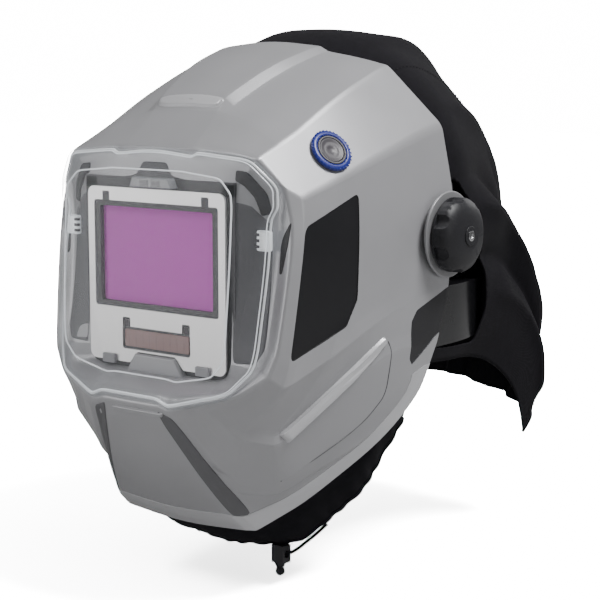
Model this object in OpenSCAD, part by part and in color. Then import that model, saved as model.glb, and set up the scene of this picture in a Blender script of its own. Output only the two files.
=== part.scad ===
// Head-top of a powered air respirator with a welding shield.
// Millimetres. Origin midway between the two head pivots, +Z up, the wearer looks along -Y,
// wearer's left is +X.

/* [Helmet] */
// Width over the shell at the pivots
helmet_w = 235; // [225:1:290]
// Length from the chin to the rear rim of the shell
helmet_l = 180; // [172:1:220]
// Height of the shell from the crown to the lip
helmet_h = 312; // [300:1:370]
// Wall of the moulded shell
shell_wall = 2.6; // [2:0.1:3.2]

/* [Filter] */
// Width of the face plate
plate_w = 116; // [112:1:119]
// Height of the face plate
plate_h = 112; // [108:1:114]
// Width of the filter's viewing area
view_w = 95; // [80:1:100]
// Height of the filter's viewing area
view_h = 61; // [50:1:64]
// Depth of the filter cartridge
cartridge_d = 16; // [12:1:20]

/* [Pivot] */
// Diameter of the tension knob
knob_d = 49; // [44:1:54]
// Height of the tension knob along its axis
knob_h = 15; // [12:1:18]
// Diameter of the pivot stud
stud_d = 12; // [8:1:14]
// Diameter of the silver boss round the knob
boss_d = 57; // [52:1:60]
// Running clearance on a radius
run_clear = 0.05; // [0.02:0.01:0.1]

/* [Headgear] */
// Inside width of the headband
band_w = 154; // [145:1:162]
// Inside length of the headband
band_l = 196; // [186:1:206]
// Height of the headband strip
band_h = 26; // [20:1:32]
// Thickness of the headband strip
band_t = 2.4; // [1.8:0.1:3]
// Travel of the rear cradle
cradle_travel = 14; // [8:1:15]

/* [Air duct] */
// Bore of the breathing tube inlet
inlet_bore = 30; // [24:1:34]
// Length of the inlet socket
inlet_len = 22; // [18:1:28]
// Height of the side ducts
duct_h = 40; // [34:1:44]
// Thickness of the side ducts
duct_t = 13; // [10:0.5:14]

/* [Grind button] */
// Diameter of the blue ring
ring_d = 28; // [25:0.5:30]
// Diameter of the push cap
cap_d = 17; // [14:0.5:18]
// Travel of the push cap
cap_travel = 2; // [1.5:0.1:2.5]

/* [Hidden] */

// The shell's points are written for this nominal helmet and follow the three driving sizes.
NOMINAL = [235, 180, 312];
SCALE = [helmet_w / NOMINAL.x, helmet_l / NOMINAL.y, helmet_h / NOMINAL.z];
function fit(p) = [p.x * SCALE.x, p.y * SCALE.y, p.z * SCALE.z];

/* Shell lines. Each ray runs from the viewport's edge to the rear rim on the +X half, from the crown to the chin:
   viewport edge, cover seat, front edge, then four points on the outside, and the rim. */
RAYS = [
    // crown centre
    [[0, -150, 37], [0, -148, 55], [0, -149, 60], [0, -126, 80], [0, -117, 92], [0, -82, 113],
        [0, -46, 124.5], [0, -39, 126]],
    // crown panel edge
    [[24, -150, 37], [27, -148, 55], [28, -149, 60], [27, -125, 80], [27, -116, 91], [34, -80, 110.5],
        [39, -43, 121], [40, -36, 122]],
    // crown panel foot
    [[36, -150, 37], [38, -148, 54], [40, -149, 59], [34, -124, 79.5], [34, -115, 85], [41, -79, 104.5],
        [45, -42, 117], [46, -35, 118.5]],
    // roof
    [[52, -150, 37], [57, -147, 53], [59, -148.5, 58], [58, -124, 74], [58, -112, 79.5], [62, -75, 98.5],
        [65, -35, 113], [66, -28, 114.5]],
    // upper crease
    [[58, -150, 34], [73, -146, 49], [78, -148, 55], [79, -126, 64], [80, -110, 71], [81, -70, 91.5],
        [81, -26, 107.5], [81, -17, 109.5]],
    // side crease
    [[60.5, -150, 24], [86, -139, 32], [92, -139, 38], [100, -131, 31], [103, -105, 39], [107, -65, 52],
        [110.5, -7, 69.5], [111, 2, 71]],
    // side, upper
    [[60.5, -150, 8], [85, -138, 12], [99, -139, 13], [103, -132, 12], [106, -108, 14], [110, -65, 16],
        [116, 0, 20], [116.5, 10, 21]],
    // side, middle
    [[60.5, -150, -20], [85, -140, -20], [98, -144, -20], [102, -137, -20], [107, -100, -18],
        [112, -55, -15], [117, 0, -5], [117.5, 10, -5]],
    // side, lower
    [[60.5, -151, -50], [83, -146, -55], [95, -150, -62], [100, -142, -66], [107, -97, -48],
        [112, -58, -36], [116.5, -5, -24], [116.5, 5, -22]],
    // cheek crease
    [[60.5, -152, -70], [80, -152, -71], [91, -154, -75], [97, -145, -83], [108, -107, -65],
        [113.5, -60, -45], [116, -4, -35], [116, 5, -33]],
    // cheek band
    [[57, -152, -80], [69, -161, -83], [73, -166, -89], [86, -148, -98], [97, -120, -92], [113, -61, -54],
        [115, -6, -50], [115, 3, -49]],
    // cheek panel edge
    [[48, -153, -82], [57, -166, -87], [60, -170, -93], [72, -155, -110], [83, -134, -116],
        [112.5, -63, -61], [113.5, -9, -62], [113.5, 0, -61]],
    // cheek panel foot
    [[43, -153, -82], [52, -168, -88], [55, -171.5, -95], [70, -156, -116], [84, -134.5, -122],
        [113.5, -62, -68], [112.5, -12, -73], [112.5, -3, -72]],
    // cheek panel lower line
    [[38, -153, -82], [46, -170, -89], [48, -173.5, -97], [62, -151, -130], [76, -122, -149],
        [106, -54, -106], [109.5, -16, -89], [110, -9, -88]],
    // rear corner of the lip
    [[33, -153, -82], [41, -172, -90], [43, -175.5, -98.5], [58, -150, -136], [73, -119, -155],
        [101, -54, -121], [107.5, -23, -100], [107, -17, -107]],
    // lip, side
    [[29, -153, -82], [36, -173, -91], [38, -177, -99.5], [53, -152, -140], [68, -120, -161],
        [92, -71, -137], [98.5, -54, -127], [97, -48, -134.5]],
    // lip, front
    [[25, -153, -82], [32, -174, -91], [34, -178, -100.5], [47, -154, -137], [56, -137, -157],
        [66, -117, -163], [74, -101, -160], [73, -94, -167.5]],
    // chin strip foot
    [[22, -153, -82], [29, -174, -91], [31, -178.5, -100], [40, -163, -126], [46, -152, -145],
        [52, -140, -164], [56, -132, -175], [57, -124, -182.5]],
    // chin strip edge
    [[17, -153, -82], [20, -175, -90], [23, -179, -97.5], [28, -174, -110], [38, -159, -139],
        [44, -147, -160], [50, -136, -175], [50, -128, -182.5]],
    // chin centre
    [[0, -153, -82], [0, -175, -90], [0, -179.5, -97.5], [0, -175.5, -108], [0, -162, -138],
        [0, -150, -161], [0, -140, -178], [0, -131, -185.5]]
];
// Share of each leg that the round at a ray takes up: small on a crease, a half where the skin is smooth
RAY_ROUND = [0.5, 0.2, 0.2, 0.5, 0.14, 0.14, 0.5, 0.5, 0.4, 0.12, 0.5, 0.2, 0.2, 0.2, 0.5, 0.5, 0.35, 0.2, 0.2, 0.5];
// The same across the rays, from the viewport to the rim
STATION_ROUND = [0, 0.3, 0.25, 0.3, 0.35, 0.5, 0.35, 0];

function mirror_x(p) = [-p.x, p.y, p.z];
function last_of(a) = a[len(a) - 1];
function whole(half) = concat(half, [for (i = [len(half) - 2 : -1 : 1]) [for (p = half[i]) mirror_x(p)]]);
function unit(v) = v / max(norm(v), 1e-9);
function blend3(a, b, c, t) = a * (1 - t) * (1 - t) + b * 2 * t * (1 - t) + c * t * t;
function corner(a, b, c, share, n) = [for (k = [0 : n]) blend3(b + (a - b) * share, b, b + (c - b) * share, k / n)];
// An open line with its inner corners rounded, n + 1 points to each corner
function round_open(p, share, n) = concat(
    [p[0]],
    [for (i = [1 : len(p) - 2]) each corner(p[i - 1], p[i], p[i + 1], share[i], n)],
    [last_of(p)]
);
// The same for a closed loop
function round_loop(p, share, n) = let (m = len(p))
    [for (i = [0 : m - 1]) each corner(p[(i + m - 1) % m], p[i], p[(i + 1) % m], share[i], n)];
function mirrored_share(s) = concat(s, [for (i = [len(s) - 2 : -1 : 1]) s[i]]);
function middle(pts) = [for (k = [0 : len(pts[0]) - 1]) [for (p = pts) p[k]] * [for (p = pts) 1] / len(pts)];
function column(g, j) = [for (row = g) row[j]];
// Outward normal of a grid of rays by stations, closed across the rays when loop is true
function grid_normal(g, i, j, loop, out) = let (
    m = len(g), s = len(g[0]),
    a = loop ? g[(i + m - 1) % m][j] : g[max(i - 1, 0)][j],
    b = loop ? g[(i + 1) % m][j] : g[min(i + 1, m - 1)][j],
    c = g[i][max(j - 1, 0)],
    d = g[i][min(j + 1, s - 1)]
) unit(cross(b - a, d - c)) * out;
function shifted(g, by, loop, out) = [for (i = [0 : len(g) - 1]) [for (j = [0 : len(g[0]) - 1])
    g[i][j] + grid_normal(g, i, j, loop, out) * by]];
// Rows run from station to station; each row is one loop or line across the rays
function rows_of(g, across, along, loop, n) = let (
    lines = [for (r = g) round_open(r, along, n)],
    count = len(lines[0])
) [for (j = [0 : count - 1]) loop ? round_loop(column(lines, j), across, n) : round_open(column(lines, j), across, n)];

// A solid skin between two grids of rows
module skin(outer, inner, loop) {
    r = len(outer);
    c = len(outer[0]);
    last = loop ? c - 1 : c - 2;
    points = concat([for (row = outer) each row], [for (row = inner) each row]);
    base = r * c;
    outside = [for (i = [0 : r - 2], j = [0 : last]) let (k = (j + 1) % c)
        each [[i * c + j, i * c + k, (i + 1) * c + k], [i * c + j, (i + 1) * c + k, (i + 1) * c + j]]];
    inside = [for (f = outside) [f[2] + base, f[1] + base, f[0] + base]];
    edges = [for (j = [0 : last]) let (k = (j + 1) % c, e = (r - 1) * c)
        each [[j, base + j, base + k], [j, base + k, k],
              [e + j, e + k, base + e + k], [e + j, base + e + k, base + e + j]]];
    sides = loop ? [] : [for (i = [0 : r - 2]) let (e = c - 1)
        each [[i * c, (i + 1) * c, base + (i + 1) * c], [i * c, base + (i + 1) * c, base + i * c],
              [i * c + e, base + i * c + e, base + (i + 1) * c + e],
                  [i * c + e, base + (i + 1) * c + e, (i + 1) * c + e]]];
    polyhedron(points, concat(outside, inside, edges, sides), convexity = 10);
}

GRID = [for (r = whole(RAYS)) [for (p = r) fit(p)]];
GRID_ROUND = mirrored_share(RAY_ROUND);

module shell_skin(from, to) {
    skin(rows_of(shifted(GRID, from, true, 1), GRID_ROUND, STATION_ROUND, true, 1),
         rows_of(shifted(GRID, to, true, 1), GRID_ROUND, STATION_ROUND, true, 1), true);
}

/* Clear cover: rim points from the crown to the chin on the +X half, and the pane's corners as x and z */
COVER_RIM = [
    [0, -152, 58], [31, -152, 57.5], [36, -151.5, 56], [75, -150, 54], [89, -141.5, 38], [89.5, -141.5, 26],
        [85, -142.5, 18],
    [86.5, -146.5, -9], [83, -155, -70], [70, -166, -86.5], [33, -178.5, -96.5], [23, -179, -92.5],
        [0, -179, -92.5]
];
COVER_PANE = [
    [0, 46], [30, 46], [34, 45.5], [60, 43], [69, 34], [70, 26], [70, 16], [70, -9], [68, -66], [58, -77],
        [30, -83], [21, -82], [0, -82]
];
COVER_ROUND = [0.5, 0.2, 0.2, 0.2, 0.25, 0.25, 0.25, 0.4, 0.25, 0.2, 0.2, 0.2, 0.5];
COVER_ALONG = [0, 0.3, 0.3, 0];
cover_wall = 2.2;
flange = 1.4;
cover_seat = 0.7;
step_in = 0.16;
pane_top_y = -162.8;
pane_lean = 0.062;
function pane_point(p) = [p.x, pane_top_y + pane_lean * p.y, p.y];
function cover_ray(rim, pane) = [
    rim + [0, flange, 0], rim, rim + (pane - rim) * step_in + [0, -flange * 0.8, 0], pane
];
COVER = [for (r = whole([for (i = [0 : len(COVER_RIM) - 1]) cover_ray(COVER_RIM[i], pane_point(COVER_PANE[i]))]))
    [for (p = r) fit(p - [0, cover_seat, 0])]];

// A closed dish: rows of loops whose last row, which is flat, is capped
module dish(outer, inner) {
    r = len(outer);
    c = len(outer[0]);
    base = r * c;
    middles = [middle(last_of(outer)), middle(last_of(inner))];
    points = concat([for (row = outer) each row], [for (row = inner) each row], middles);
    outside = [for (i = [0 : r - 2], j = [0 : c - 1]) let (k = (j + 1) % c)
        each [[i * c + j, i * c + k, (i + 1) * c + k], [i * c + j, (i + 1) * c + k, (i + 1) * c + j]]];
    inside = [for (f = outside) [f[2] + base, f[1] + base, f[0] + base]];
    edges = [for (j = [0 : c - 1]) let (k = (j + 1) % c) each [[j, base + j, base + k], [j, base + k, k]]];
    caps = [for (j = [0 : c - 1]) let (k = (j + 1) % c, e = (r - 1) * c)
        each [[e + j, e + k, 2 * base], [base + e + k, base + e + j, 2 * base + 1]]];
    polyhedron(points, concat(outside, inside, edges, caps), convexity = 10);
}

/* Outlines seen from the side, as y and z, that follow the shell */
WINDOW = [[-132, 14], [-84, 32], [-87, -34], [-97, -50], [-143, -67]];
TRIM = [[14, -33], [2, -36], [-30, -47], [-35, -54], [-33.5, -79], [-29, -84], [-6, -68], [6, -62]];
SHROUD_GAP = [[-20, 38], [22, 34], [50, 2], [68, -30], [70, -60], [62, -82], [20, -80], [-20, -74]];
panel_gap = 0.3;
side_reach = 180;
panel_sink = 0.5;
panel_wall = 2;
function side_point(p) = [p.x * SCALE.y, p.y * SCALE.z];
function grown(pts, by) = let (m = middle(pts)) [for (p = pts) m + (p - m) * (1 + by / norm(p - m))];
function outline(pts, share, by) = round_loop([for (p = grown(pts, by)) side_point(p)], [for (p = pts) share], 3);
module side_prism(pts, share, by, from, to) {
    translate([from, 0, 0]) rotate([90, 0, 90]) linear_extrude(to - from) polygon(outline(pts, share, by));
}
module both_sides() {
    children();
    mirror([1, 0, 0]) children();
}

pivot_x = helmet_w / 2;
stud_r = stud_d / 2;
boss_hub_r = stud_r + 9;
boss_out = 2.4;
button_at = fit([93.8, -96.5, 57.2]);
button_n = [0.803, -0.25, 0.541];
module at_button() {
    translate(button_at)
    rotate([0, acos(button_n.z / norm(button_n)), atan2(button_n.y, button_n.x)])
    children();
}
module along_x(from, to, r, fn = 64) {
    translate([from, 0, 0]) rotate([0, 90, 0]) cylinder(h = to - from, r = r, $fn = fn);
}
module along_y(from, to, r, fn = 48) {
    translate([0, to, 0]) rotate([90, 0, 0]) cylinder(h = to - from, r = r, $fn = fn);
}

collar_r = cap_d / 2 + 1.4;
hub_reach = 9;

module shell() {
    color([0.72, 0.72, 0.74])
    difference() {
        shell_skin(0, -shell_wall);
        both_sides() {
            side_prism(WINDOW, 0.08, 0, 80, side_reach);
            side_prism(TRIM, 0.12, 0, 96, side_reach);
            along_x(100, side_reach, boss_hub_r + 0.1, 48);
        }
        at_button() translate([0, 0, -hub_reach - 3]) cylinder(h = 30, r = collar_r + 0.1, $fn = 48);
    }
}

module side_window_left() {
    color([0.13, 0.13, 0.15])
    intersection() {
        shell_skin(-panel_sink, -panel_sink - panel_wall);
        side_prism(WINDOW, 0.08, -panel_gap, 80, side_reach);
    }
}
module side_window_right() { mirror([1, 0, 0]) side_window_left(); }

module rear_trim_left() {
    color([0.1, 0.1, 0.11])
    intersection() {
        shell_skin(-panel_sink, -panel_sink - panel_wall);
        side_prism(TRIM, 0.12, -panel_gap, 96, side_reach);
    }
}
module rear_trim_right() { mirror([1, 0, 0]) rear_trim_left(); }

module front_cover_lens() {
    color([0.85, 0.9, 0.93, 0.4])
    dish(rows_of(COVER, mirrored_share(COVER_ROUND), COVER_ALONG, true, 1),
         rows_of(shifted(COVER, -cover_wall, true, 1), mirrored_share(COVER_ROUND), COVER_ALONG, true, 1));
}

/* Filter cartridge, stacked along Y from the face plate backwards */
plate_y = -154 * SCALE.y;
plate_t = 1.4;
plate_z = -22.75 * SCALE.z;
view_z = plate_z + 13.3;
bezel_side = 5;
bezel_top = 3.6;
front_t = 8;
housing_wall = 2;
flange_w = plate_w + 17;
flange_gap = 1;
cartridge_back = plate_y + plate_t + front_t + cartridge_d - 8;
control_z = plate_z - 40;
cavity_h = 27;
solar_w = 55;
solar_h = 11.5;
sensor_w = 5;
sensor_x = 25.5;
sensor_z = plate_z - 30.2;
ledge_half = 16;
ledge_h = 7.5;

function round_rect(w, h, r, n = 5) = [for (q = [0 : 3], k = [0 : n]) let (a = 90 * q + 90 * k / n)
    [(q == 0 || q == 3 ? 1 : -1) * (w / 2 - r), (q < 2 ? 1 : -1) * (h / 2 - r)] + r * [cos(a), sin(a)]];
// A slab facing -Y: width, height, corner radius, from y to y, centred on z
module slab(w, h, r, y0, y1, z) {
    translate([0, y1, z]) rotate([90, 0, 0]) linear_extrude(y1 - y0) polygon(round_rect(w, h, r));
}
module ledge_cut(y0, y1) {
    translate([0, y1, plate_z - plate_h / 2 - 1]) rotate([90, 0, 0]) linear_extrude(y1 - y0)
        polygon([[-ledge_half - 8, 0], [ledge_half + 8, 0], [ledge_half, ledge_h + 1], [-ledge_half, ledge_h + 1]]);
}
module at_sensors() { for (s = [-1, 1]) translate([s * sensor_x, 0, 0]) children(); }

module face_plate() {
    color([0.81, 0.81, 0.81])
    difference() {
        slab(plate_w, plate_h, 5, plate_y, plate_y + plate_t, plate_z);
        slab(view_w + 2 * bezel_side, view_h + 2 * bezel_top, 2, plate_y - 1, plate_y + plate_t + 1, view_z);
        slab(solar_w + 3, solar_h + 3, 2, plate_y - 1, plate_y + plate_t + 1, control_z);
        at_sensors() slab(sensor_w + 1.6, sensor_w + 1.6, 1, plate_y - 1, plate_y + plate_t + 1, sensor_z);
        ledge_cut(plate_y - 1, plate_y + plate_t + 1);
    }
}
module filter_bezel() {
    color([0.33, 0.33, 0.35])
    difference() {
        slab(view_w + 2 * bezel_side - 0.4, view_h + 2 * bezel_top - 0.4, 1.8, plate_y + 0.3, plate_y + plate_t, view_z);
        slab(view_w, view_h, 1.5, plate_y - 1, plate_y + plate_t + 1, view_z);
    }
}
glass_y = plate_y + plate_t + 2.2;
glass_t = 3;
module filter_glass() {
    color([0.66, 0.42, 0.66])
    slab(view_w + 4, view_h + 4, 1.5, glass_y, glass_y + glass_t, view_z);
}
module filter_housing() {
    y0 = plate_y + plate_t;
    color([0.3, 0.3, 0.32])
    difference() {
        union() {
            slab(plate_w - 1, plate_h - 1, 4, y0, y0 + front_t + flange_gap, plate_z);
            slab(flange_w, plate_h, 3, y0 + front_t + flange_gap, cartridge_back, plate_z);
        }
        slab(view_w, view_h, 1, y0 - 1, cartridge_back + 1, view_z);
        slab(view_w + 4, view_h + 4, 1.5, glass_y, glass_y + glass_t, view_z);
        slab(flange_w - 2 * housing_wall, cavity_h, 2, y0 + housing_wall, cartridge_back - housing_wall, control_z - 1);
        slab(solar_w, solar_h, 1, y0 - 1, y0 + housing_wall + 1, control_z);
        at_sensors() slab(sensor_w, sensor_w, 0.8, y0 - 1, y0 + housing_wall + 1, sensor_z);
        for (x = CONTROL_X) translate([x, 0, control_z]) along_y(cartridge_back - 4, cartridge_back + 1, control_r + 0.15);
        ledge_cut(y0 - 1, y0 + housing_wall);
    }
}
module solar_cell() {
    color([0.45, 0.36, 0.34])
    slab(solar_w - 0.4, solar_h - 0.4, 1, plate_y + 0.5, plate_y + plate_t + housing_wall, control_z);
}
module arc_sensors() {
    color([0.08, 0.08, 0.1])
    at_sensors() slab(sensor_w - 0.4, sensor_w - 0.4, 0.8, plate_y + 0.4, plate_y + plate_t + housing_wall, sensor_z);
}
clip_x = 40;
module retaining_clips() {
    color([0.6, 0.6, 0.62])
    for (s = [-1, 1]) translate([s * clip_x, 0, plate_z - plate_h / 2 + 1.4])
        difference() {
            slab(11, 6, 1, plate_y - 2.2, plate_y + plate_t, 0);
            slab(12, 8, 0.5, plate_y, plate_y + plate_t + 1, 2.5);
        }
}
module cover_latch() {
    color([0.75, 0.78, 0.8])
    translate([0, plate_y + 3, plate_z + plate_h / 2 + 4]) rotate([90, 0, 0]) linear_extrude(7)
        polygon([[-18, -3], [18, -3], [15, 3.5], [-15, 3.5]]);
}
inner_plate_t = 1.4;
module inner_cover_plate() {
    color([0.85, 0.9, 0.93, 0.4])
    slab(view_w + 10, view_h + 6, 2, cartridge_back + 0.1, cartridge_back + 0.1 + inner_plate_t, view_z);
}
board_t = 1.6;
board_y = cartridge_back - housing_wall - 4.2;
module circuit_board() {
    color([0.1, 0.35, 0.2])
    difference() {
        slab(66, cavity_h - 4, 1, board_y, board_y + board_t, control_z - 1);
        translate([-28, 0, control_z + 6]) along_y(board_y - 1, board_y + 3, 1.2);
        translate([28, 0, control_z + 6]) along_y(board_y - 1, board_y + 3, 1.2);
    }
}
cell_r = 12.25;
cell_t = 5;
module batteries() {
    color([0.75, 0.75, 0.76])
    for (s = [-1, 1]) translate([s * 49, 0, control_z - 1])
        along_y(cartridge_back - housing_wall - cell_t - 0.5, cartridge_back - housing_wall - 0.5, cell_r);
}
CONTROL_X = [-18, 0, 18];
control_r = 4;
control_travel = 0.8;
module control_button(x) {
    color([0.2, 0.2, 0.22])
    translate([x, 0, control_z]) {
        along_y(cartridge_back - housing_wall - 1.4, cartridge_back + 1.6, control_r);
        along_y(cartridge_back - housing_wall - 1.4, cartridge_back - housing_wall - 0.2, control_r + 0.8);
    }
}
module button_power() { control_button(CONTROL_X[0]); }
module button_mode() { control_button(CONTROL_X[1]); }
module button_up() { control_button(CONTROL_X[2]); }

/* Grind button, drawn upright and placed on the left upper side */
teeth = 20;
ring_h = 2.6;
module button_collar() {
    color([0.3, 0.3, 0.32])
    at_button() difference() {
        union() {
            translate([0, 0, -hub_reach]) cylinder(h = hub_reach + 3, r = collar_r, $fn = 48);
            translate([0, 0, -shell_wall - 3.2]) cylinder(h = 1.6, r = collar_r + 2, $fn = 48);
        }
        translate([0, 0, -hub_reach + 1.6]) cylinder(h = hub_reach + 5, r = cap_d / 2 + run_clear, $fn = 48);
    }
}
module button_ring() {
    color([0.15, 0.19, 0.5])
    at_button() difference() {
        translate([0, 0, 0.5]) cylinder(h = ring_h, r = ring_d / 2, $fn = 64);
        translate([0, 0, -1]) cylinder(h = 8, r = collar_r + 0.05, $fn = 48);
        for (k = [0 : teeth - 1]) rotate(360 * k / teeth) translate([ring_d / 2 + 1, 0, -1]) cylinder(h = 8, r = 2, $fn = 24);
    }
}
module grind_button() {
    color([0.34, 0.33, 0.36])
    at_button() difference() {
        translate([0, 0, -2.2]) cylinder(h = 5, r = cap_d / 2, $fn = 48);
        translate([0, 0, 19.6]) sphere(r = 18, $fn = 64);
    }
}
module button_spring() {
    color([0.6, 0.6, 0.62])
    at_button() translate([0, 0, -hub_reach + 1.6]) for (k = [0 : 3]) translate([0, 0, 0.5 + k * 1.2])
        rotate_extrude($fn = 36) translate([5.5, 0]) circle(r = 0.45, $fn = 16);
}

/* Pivots */
module pivot_boss_left() {
    color([0.74, 0.74, 0.76])
    difference() {
        union() {
            along_x(pivot_x + 0.3, pivot_x + boss_out, boss_d / 2, 96);
            along_x(pivot_x - 6, pivot_x + 1, boss_hub_r);
        }
        along_x(pivot_x - 10, pivot_x + 10, stud_r + run_clear);
    }
}
module pivot_boss_right() { mirror([1, 0, 0]) pivot_boss_left(); }
stud_in = 18;
knob_in = pivot_x + boss_out + 0.4;
module pivot_stud_left() {
    color([0.7, 0.7, 0.72]) {
        along_x(pivot_x - stud_in, knob_in + knob_h - 5, stud_r);
        along_x(pivot_x - stud_in - 3, pivot_x - stud_in, stud_r + 4, 6);
    }
}
module pivot_stud_right() { mirror([1, 0, 0]) pivot_stud_left(); }
notches = 7;
cap_r = 6.5;
module knob_left() {
    r = knob_d / 2;
    color([0.11, 0.11, 0.12])
    difference() {
        translate([knob_in, 0, 0]) rotate([0, 90, 0]) rotate_extrude($fn = 96)
            polygon([[0, 0], [r - 1, 0], [r, 1], [r, knob_h * 0.55], [r - 1.5, knob_h * 0.72], [r * 0.72, knob_h * 0.92],
                     [r * 0.4, knob_h], [0, knob_h]]);
        along_x(knob_in - 1, knob_in + knob_h - 4.6, stud_r + run_clear);
        along_x(knob_in + knob_h - 2.2, knob_in + knob_h + 2, cap_r);
        for (k = [0 : notches - 1]) rotate([360 * k / notches, 0, 0]) translate([0, r + 4.5, 0]) along_x(knob_in + 2, knob_in + knob_h + 2, 7);
    }
}
module knob_right() { mirror([1, 0, 0]) knob_left(); }
module knob_cap_left() {
    color([0.07, 0.07, 0.08])
    along_x(knob_in + knob_h - 2.2, knob_in + knob_h + 0.8, cap_r - 0.1);
}
module knob_cap_right() { mirror([1, 0, 0]) knob_cap_left(); }
washer_t = 1.2;
plate_in = pivot_x - 14;
plate_thick = 5;
module friction_washers() {
    color([0.85, 0.82, 0.7])
    both_sides() difference() {
        along_x(plate_in + plate_thick, plate_in + plate_thick + washer_t, 15);
        along_x(plate_in, plate_in + 12, stud_r);
    }
}

/* Headgear */
band_x = band_w / 2;
band_z = 20;
front_y = -band_l / 2 + 12;
rear_y = front_y + band_l;
// A stadium-shaped half: an arc round (0, y) on radius r
function arc_points(r, y, from, to, n) = [for (k = [0 : n]) let (a = from + (to - from) * k / n) [r * cos(a), y + r * sin(a)]];
function stadium(grow) = concat(arc_points(band_x + grow, rear_y - band_x, 0, 180, 24), arc_points(band_x + grow, front_y + band_x, 180, 360, 24));
module band_ring(from, to, z0, z1) {
    translate([0, 0, z0]) linear_extrude(z1 - z0) difference() {
        polygon(stadium(to));
        polygon(stadium(from));
    }
}
headband_end = 24;
arm_front = 20;
module headband() {
    color([0.15, 0.15, 0.16])
    intersection() {
        band_ring(0, band_t, band_z, band_z + band_h);
        translate([-200, -300, 0]) cube([400, 300 + headband_end, 100]);
    }
}
pad_t = 7;
module brow_pad() {
    color([0.2, 0.2, 0.22])
    intersection() {
        band_ring(-pad_t, -0.2, band_z + 1, band_z + band_h - 1);
        translate([-62, -200, 0]) cube([124, 200 + front_y + 52, 100]);
    }
}
strap_w = 16;
strap_t = 1.8;
strap_drop = 10;
strap_start = 8;
module crown_strap(y) {
    translate([0, y + strap_w / 2, band_z + band_h - 8]) rotate([90, 0, 0]) linear_extrude(strap_w)
        difference() {
            polygon(arc_points(band_x, -strap_drop, strap_start, 180 - strap_start, 24));
            polygon(arc_points(band_x - strap_t, -strap_drop, strap_start - 2, 182 - strap_start, 24));
        }
}
module crown_straps() {
    color([0.16, 0.16, 0.17])
    for (y = [0, 17]) crown_strap(y);
}
duct_x = 97;
tab_x = duct_x - duct_t / 2;
tab_t = 3;
tab_y = 4;
tab_w = 20;
tab_bottom = -62;
duct_screw_r = 1.6;
duct_screw_z = -52;
module at_duct_screws() { for (y = [9, 19]) translate([0, y, duct_screw_z]) children(); }
block_back = 4;
module pivot_plate_left() {
    color([0.17, 0.17, 0.18])
    difference() {
        union() {
            translate([plate_in, -20, -18]) cube([plate_thick, 40, 50]);
            translate([band_x + band_t, block_back - 20, band_z + 3])
                cube([plate_in - band_x - band_t, 20, band_h - 8]);
            translate([tab_x - tab_t, tab_y, tab_bottom]) cube([tab_t, tab_w, -12 - tab_bottom]);
            translate([tab_x - tab_t, tab_y, -18]) cube([plate_in - tab_x + tab_t + 1, tab_w, 6]);
        }
        along_x(plate_in - 30, plate_in + 20, stud_r);
        along_x(plate_in - 30, plate_in - 3, stud_r + 5);
        at_duct_screws() along_x(tab_x - 10, tab_x + 1, duct_screw_r, 24);
    }
}
module pivot_plate_right() { mirror([1, 0, 0]) pivot_plate_left(); }

cradle_gap = 0.4;
cradle_t = 2.4;
housing_w = 62;
module rear_cradle() {
    color([0.15, 0.15, 0.16])
    intersection() {
        band_ring(band_t + cradle_gap, band_t + cradle_gap + cradle_t, band_z + 2, band_z + band_h - 2);
        translate([-200, arm_front, 0]) cube([400, 300, 100]);
    }
}
module rear_pad() {
    color([0.2, 0.2, 0.22])
    intersection() {
        band_ring(-6, band_t + cradle_gap - 0.1, band_z + 1, band_z + band_h - 1);
        translate([-34, rear_y - 25, 0]) cube([68, 60, 100]);
    }
}
hub_y = rear_y + band_t + cradle_gap + cradle_t;
knob_z = band_z + band_h / 2;
ratchet_shaft_r = 5;
module ratchet_housing() {
    color([0.12, 0.12, 0.13])
    difference() {
        slab(housing_w, 34, 10, hub_y - 9, hub_y + 7, knob_z);
        translate([0, 0, knob_z]) along_y(hub_y - 1, hub_y + 9, ratchet_shaft_r + run_clear);
        band_ring(band_t - 20, band_t + cradle_gap + cradle_t + 0.02, band_z - 20, band_z + band_h + 20);
    }
}
module ratchet_knob() {
    color([0.1, 0.1, 0.11])
    translate([0, 0, knob_z]) difference() {
        union() {
            along_y(hub_y + 7.4, hub_y + 19, 19, 96);
            along_y(hub_y + 0.5, hub_y + 8, ratchet_shaft_r);
        }
        for (k = [0 : 11]) rotate([0, 30 * k, 0]) translate([20.5, 0, 0]) along_y(hub_y + 9, hub_y + 21, 3);
    }
}

/* Air path: an inlet behind the neck, and a duct along each side to an outlet beside the face */
duct_top = -38;
duct_z = duct_top - duct_h;
duct_wall = 1.8;
manifold_y = 134;
manifold_w = 60;
manifold_d = 36;
// Middle line of the left duct, seen from above
DUCT = [[duct_x, -2], [duct_x, 44], [87, 86], [64, 112], [manifold_w / 2 - 4, manifold_y - 8]];
DUCT_ROUND = [0, 0.3, 0.4, 0.4, 0];
function side_of(p, d) = [for (i = [0 : len(p) - 1]) let (t = unit(p[min(i + 1, len(p) - 1)] - p[max(i - 1, 0)])) p[i] + [-t.y, t.x] * d];
function strip(p, d) = concat(side_of(p, d), [for (i = [len(p) - 1 : -1 : 0]) side_of(p, -d)[i]]);
DUCT_LINE = round_open(DUCT, DUCT_ROUND, 4);
module air_duct_left() {
    color([0.13, 0.13, 0.15])
    difference() {
        translate([0, 0, duct_z]) linear_extrude(duct_h) polygon(strip(DUCT_LINE, duct_t / 2));
        translate([0, 0, duct_z + duct_wall]) linear_extrude(duct_h - 2 * duct_wall)
            polygon(strip(concat([DUCT_LINE[0] - [0, 1]], DUCT_LINE, [last_of(DUCT_LINE) + [-2, 1]]), duct_t / 2 - duct_wall));
        at_duct_screws() along_x(tab_x - 1, tab_x + duct_wall + 1, duct_screw_r, 24);
        manifold_block(0.02);
    }
}
module air_duct_right() { mirror([1, 0, 0]) air_duct_left(); }
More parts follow.
